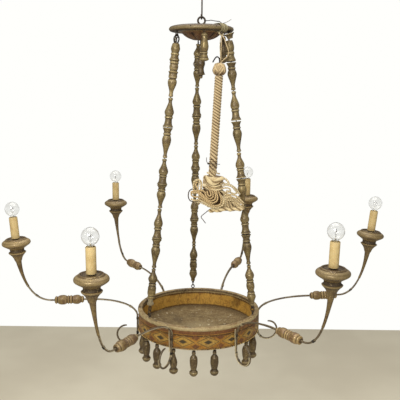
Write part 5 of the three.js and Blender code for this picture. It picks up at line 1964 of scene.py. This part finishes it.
@dataclass
class Tassel:
    """Ball knot, wound rope, woven head and a skirt of looped cords, in a leaning sketch below its eye."""

    shop: Shop
    knot_z: float = -100.0
    knot_radius: float = 19.6
    rope_top: float = -119.3
    rope_foot: float = -429.3
    rope_radius: float = 13.0
    head_top: float = -429.6
    HOME: ClassVar[Matrix] = TASSEL_EYE @ shift(0, 0, HEIGHTS.chain_hinge) @ turn(2.9, "Y")
    LEFT_STRING: ClassVar[tuple[Place, ...]] = (
         (0.4, -3.4, -6), (1, -4, -23.2), (1.6, -3.6, -51), (2.4, -3, -70))
    RIGHT_STRING: ClassVar[tuple[Place, ...]] = (
         (5.2, -4.6, -5), (15.6, -5, -26.6), (23.4, -5, -47), (21, -5, -61.1), (8, -4, -74))

    def build(self) -> None:
        """Makes the tassel and works out points along its rope, which are not kept."""
        rope = self._rope()
        knot = self._knot()
        skirt = self._skirt()
        path = [self.HOME @ Vector((0, 0, z)) * MM for z in np.linspace(self.rope_top, self.rope_foot, 32)]
        tuple(path[0])
        [tuple(p) for p in path]

    def _rope(self) -> bpy.types.Object:
        """Laid rope with a dark binding.

        Returns:
            The object.
        """
        shop = self.shop
        line = upright(self.rope_top, self.rope_foot, 260)
        lay = np.interp(np.linspace(0, 1, len(line)), (0, 0.72, 0.84, 1), (-32, -38, -54, -58))
        solid = shop.bench.wire(line, self.rope_radius, 28, strands=4, lay=lay, depth=0.32)
        piece = Piece("tassel_rope_wound", "tassel", Slot.CORD, ("tassel_rope",), self.HOME)
        piece.add(shop.bench.winding(upright(-372, -398, 6), 12.2, 2.6, 4), shop.dress(SHADE_AND_BINDING))
        return piece.add(solid, shop.dress(ROPE_CREAM)).build()

    def _weave(self, piece: Piece, bights: int, strand: float) -> None:
        """Lays a three-lead woven band of paired strands round the ball of the knot, darker towards its bottom
        as painted shade.

        Args:
            piece: Piece that gets the strands.
            bights: Bends along each edge, not a multiple of three.
            strand: Radius of a strand.
        """
        t = np.linspace(0, 2 * np.pi, 420, endpoint=False)
        ball, tilt, angle = self.knot_radius - 2.6, math.radians(66) * np.cos(bights * t), 3 * t
        out = ball * np.cos(tilt) + strand * 0.75 * np.sin(2 * bights * t)
        height = self.knot_z + ball * np.sin(tilt)
        centre = np.stack([out * np.cos(angle), out * np.sin(angle), height], -1)
        normal = np.stack([np.cos(tilt) * np.cos(angle), np.cos(tilt) * np.sin(angle), np.sin(tilt)], -1)
        side = unit(np.cross(normal, unit(np.roll(centre, -1, 0) - np.roll(centre, 1, 0))))
        for offset, crest in ((-strand, 0.95), (strand, 0.66)):
            cord = self.shop.bench.wire(centre + side * offset, strand, 8, closed=True)
            # lower strands get a lower ridge: painted shade under the knot's middle
            depth = (height.mean() - cord.points[:, 2]) / np.ptp(height)
            cord.ridge[:] = crest - 0.9 * np.clip(depth, 0, 0.5)
            piece.add(cord, self.shop.dress(ROPE_CREAM))

    def _knot(self) -> bpy.types.Object:
        """Ball knot with its strings and hook wire.

        Returns:
            The object.
        """
        shop, cream = self.shop, self.shop.dress(ROPE_CREAM)
        piece = Piece("tassel_knot_woven", "tassel", Slot.CORD, ("tassel_knot",), self.HOME)
        core = self.knot_radius - 3.4
        ball = [(0.0, self.knot_z - core), *dome(core, self.knot_z, range(-75, 76, 15)),
                (0.0, self.knot_z + core)]
        piece.add(shop.lathe.turned(ball, 24, 2), cream)
        self._weave(piece, 4, 3.0)
        for points in (self.LEFT_STRING, self.RIGHT_STRING):
            ends = (0, 0, LOOP_LINE + EYE_RADIUS - 0.3), (0, 0, self.knot_z + self.knot_radius - 3)
            piece.add(shop.cord([ends[0], *points, ends[1]], 1.5, 6, sides=9), cream)
        loose = [(0, 2, LOOP_LINE + 3), (-3, 3, -20), (-1, 3, -52), (3, 2, -76)]
        piece.add(shop.cord(loose, 1.3, 6, sides=9), shop.dress(SKIRT_FADED))
        hook = [(-1.1, -3, -86), (-1.0, -4, -79.3), (-2.4, -4, -69.6), (-6.0, -4, -65.4), (-9.8, -4, -64.0),
                (-13.2, -4, -66.4), (-16.6, -4, -71.2), (-21.6, -4, -81.2)]
        piece.add(shop.bench.wire(smooth_line(hook, 6), 2.0, 9), shop.dress(BLACK_IRON))
        return piece.build()

    def _skirt(self) -> bpy.types.Object:
        """Head and looped cords.

        Returns:
            The object.
        """
        shop = self.shop
        piece = Piece("tassel_skirt_looped", "tassel", Slot.CORD, ("tassel_skirt",), self.HOME)
        self._head(piece)
        # dark flattened body behind the loops: painted shade inside the skirt
        hollow = [(0.0, -32), (16, -29), (31, -18), (37, -2), (34, 14), (22, 26), (0.0, 32)]
        flat = shift(6, 2, self.head_top - 62) @ stretch(1.0, 0.5)
        piece.add(shop.lathe.turned(hollow, 30, 3, (), 5, 1.2), shop.dress(SHADE_AND_BINDING), flat)
        self._mat(piece)
        for strand in SKIRT_STRANDS:
            line = smooth_line(strand.points, 8)
            jog = shop.dice.waves(6, 0.5)(np.linspace(0, 6, len(line)))
            line = line + np.stack([jog, 0 * jog, -jog], -1)
            solid = shop.bench.wire(line, strand.radius, 8, strands=2, lay=strand.radius * 5, depth=0.12)
            piece.add(solid, shop.dress(strand.tone.value))
        for line, radius in SKIRT_WIRES:
            piece.add(shop.bench.wire(smooth_line(line, 8), radius, 8), shop.dress(IRON_DARK))
        lump = shop.lathe.turned([(0, -3.4), (3.0, -2.2), (4.0, 0.4), (2.4, 2.8), (0, 3.4)], 12, 2, wobble=0.4)
        piece.add(lump, shop.dress(BLACK_IRON), shift(-14.5, -13, -385))
        for k in range(17):
            self._loop(piece, ROPE_CREAM if k % 3 else SKIRT_FADED, k)
        self._turn_aside(piece)
        return piece.build()

    def _turn_aside(self, piece: Piece) -> None:
        """Bends the skirt's right end forward, clear of the string beside it.

        Args:
            piece: The skirt.
        """
        back = self.HOME.inverted()
        for index, (solid, material) in enumerate(piece.solids):
            bent = solid.moved(back)
            bent.points[:, 1] -= 1.4 * np.clip(bent.points[:, 0] - 77, 0, None)
            piece.solids[index] = (bent.moved(self.HOME), material)

    def _head(self, piece: Piece) -> None:
        """Wrapped head over the skirt, with its folded bands.

        Args:
            piece: The skirt.
        """
        shop, top = self.shop, self.head_top
        wrap, cream = shop.dress(SKIRT_CREAM), shop.dress(ROPE_CREAM)
        body = [(0.0, -42), (16, -41), (25, -36), (28.6, -29), (28.8, -24), (27, -21), (28.4, -17), (29.6, -8),
                (29.4, -1), (27.4, 4.6), (20, 6.4), (0.0, 7)]
        solid = shop.lathe.turned([(r, top + z) for r, z in body], 44, 3, (), 5, 0.9)
        piece.add(solid, wrap, shift(4, 0, 0) @ stretch(1.0, 0.86))
        for line, lift, radius in ((HEAD_FOLD, 6.4, 7.6), (HEAD_BAND, 3.6, 5.0), (HEAD_EDGE, 4.6, 6.0)):
            raised = smooth_line([(x, y, z + lift) for x, y, z in line], 8)
            piece.add(shop.bench.wire(raised, radius, 14, flat=0.5, strands=2, lay=90, depth=0.1), wrap)
        for k in range(9):
            angle = math.radians(20 + k * 17.5)
            line = [(4 + 29.5 * math.cos(angle + 0.1 * j), 25.6 * math.sin(angle + 0.1 * j), top + 4 - 7.5 * j)
                    for j in range(6)]
            piece.add(shop.cord(line, 3.4, 12, 4), cream)
        lump = [(0.0, -7), (4, -6), (7, -2.4), (7.6, 1.2), (5.4, 4.8), (0.0, 6.4)]
        piece.add(shop.lathe.turned(lump, 12, 2, (), 4, 1.4), shop.dress(SKIRT_FADED),
                  shift(-21, -22, top - 20.6))

    @staticmethod
    def _over_mat(across: float | np.ndarray, down: float | np.ndarray) -> np.ndarray:
        """Point of the flat fan on the right of the skirt.

        Args:
            across: Share of its width.
            down: Share of its height.

        Returns:
            The point.
        """
        left, right, left_foot, right_foot = np.array(
            ((34, -12, -488), (82, -4, -491), (28, -16, -524), (99, -5, -514)), float)
        upper = left * (1 - across) + right * across
        lower = left_foot * (1 - across) + right_foot * across
        return upper * (1 - down) + lower * down

    def _mat(self, piece: Piece) -> None:
        """Fan of flattened cords on the right, its thick turned hem and the small loops on it.

        Args:
            piece: The skirt.
        """
        shop, dice = self.shop, self.shop.dice
        cream, faded = shop.dress(SKIRT_CREAM), shop.dress(SKIRT_FADED)
        swell = dice.waves(5, 1.4)
        (u, v, back), faces = slab(12, 20, (0, 6))
        points = self._over_mat(u[:, None], v[:, None])
        points[:, 1] += swell(9 * u + 5 * v) + swell(7 * v - 4 * u + 2) + back
        grain = points * MM + dice.point()
        ridge = np.clip(0.45 + np.array([dice.between(-0.3, 0.5) for _ in points]), 0, 1)
        piece.add(Solid(points, faces, ridge, grain, 0.5), cream)
        for k in range(13):
            share = k / 12
            start = np.array((26 + 14 * share, -20, -466 - 4 * share))
            end = self._over_mat(1 - share, 1) + (0, -6, dice.between(-3, 8))
            middle = (start + end) / 2 + (3, -6, 6 - 8 * share)
            line = smooth_line([start, (start + middle) / 2 + (1, 1, dice.between(-2, 3)), middle, end], 8)
            solid = shop.bench.wire(line, dice.between(1.9, 2.6), 8, strands=2, lay=11, depth=0.14)
            piece.add(solid, cream if k % 3 else faded)
        t = np.linspace(0, 2 * np.pi, 14, endpoint=False)
        for _ in range(30):
            centre = self._over_mat(dice.between(0.06, 1.0), dice.between(-0.1, 1.0)) + (0, -5.5, 0)
            wide, tall, tilt = dice.between(4.5, 8.5), dice.between(2.6, 4.6), dice.between(0, 3.1)
            ring = np.stack([wide * np.cos(t), 1.2 * np.sin(2 * t), tall * np.sin(t)], -1)
            place = shift(*centre) @ turn(math.degrees(tilt), "Y")
            piece.add(shop.bench.wire(ring, 1.7, 7, closed=True), cream, place)
        hem = smooth_line(HEM_LINE, 9)
        radius = 6.0 + 0.8 * np.sin(np.linspace(0, 21, len(hem))) + 0.5 * np.sin(np.linspace(1, 50, len(hem)))
        radius[:4] *= np.linspace(0.5, 1, 4)
        radius[-4:] *= np.linspace(1, 0.5, 4)
        piece.add(shop.bench.wire(hem, radius, 16, strands=2, lay=42, depth=0.16), cream)
        flap = smooth_line([(-4, -26, -512), (6, -28, -517), (16, -26, -524), (30, -24, -525)], 8)
        piece.add(shop.bench.wire(flap, 6.0, 14, flat=0.6, strands=2, lay=50, depth=0.12), cream)

    def _loop(self, piece: Piece, finish: ThreadFinish, k: int) -> None:
        """One hanging loop of the skirt's far side.

        Args:
            piece: The skirt.
            finish: Its finish.
            k: Its number.
        """
        shop, top, dice = self.shop, self.head_top, self.shop.dice
        angle = math.radians(8 + k * 10 + dice.between(-4, 4))
        c, s = math.cos(angle), math.sin(angle)
        reach = dice.between(44, 64) * (1 if c > 0 else 0.8)
        low = dice.between(66, 96)
        wide = dice.between(5, 10)
        start = np.array((4 + 22 * c, 19 * s, top - 34))
        far = np.array((10 + reach * c, reach * 0.62 * s, top - low))
        across = np.array((-s, c, 0)) * wide
        middle = (start + far) / 2 + (c * 8, s * 6, 8)
        line = [start - across * 0.2, middle - across * 0.8, far - across + (0, 0, 7), far + (c * 4, s * 3, -2),
                far + across + (0, 0, 9), middle + across * 0.8, start + across * 0.2 + (0, 0, 2)]
        piece.add(shop.cord(line, dice.between(1.9, 2.5), 11, 7), shop.dress(finish))


def corners(box: tuple[Vector, Vector]) -> list[list[float]]:
    """A box's two corners as plain lists."""
    return [[round(v, 6) for v in corner] for corner in box]


def main() -> None:
    """Builds the chandelier piece by piece."""
    logging.basicConfig(level=logging.INFO, format="%(message)s")
    cad_box = corners(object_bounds())
    dice = Dice(7)
    shop = Shop(Palette(), dice, Lathe(dice), Drawbench(dice))
    studio = Studio()
    studio.camera()
    Tassel(shop).build()
    Suspension(shop).build()
    Canopy(shop).build()
    for size in CHAINS:
        BalusterChain(shop, size).build()
    Tray(shop).build()
    for size in ARMS:
        ScrollArm(shop, size).build()
    studio.surroundings()
    {"cad": cad_box, "visual": corners(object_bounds())}


if __name__ == "__main__":
    main()
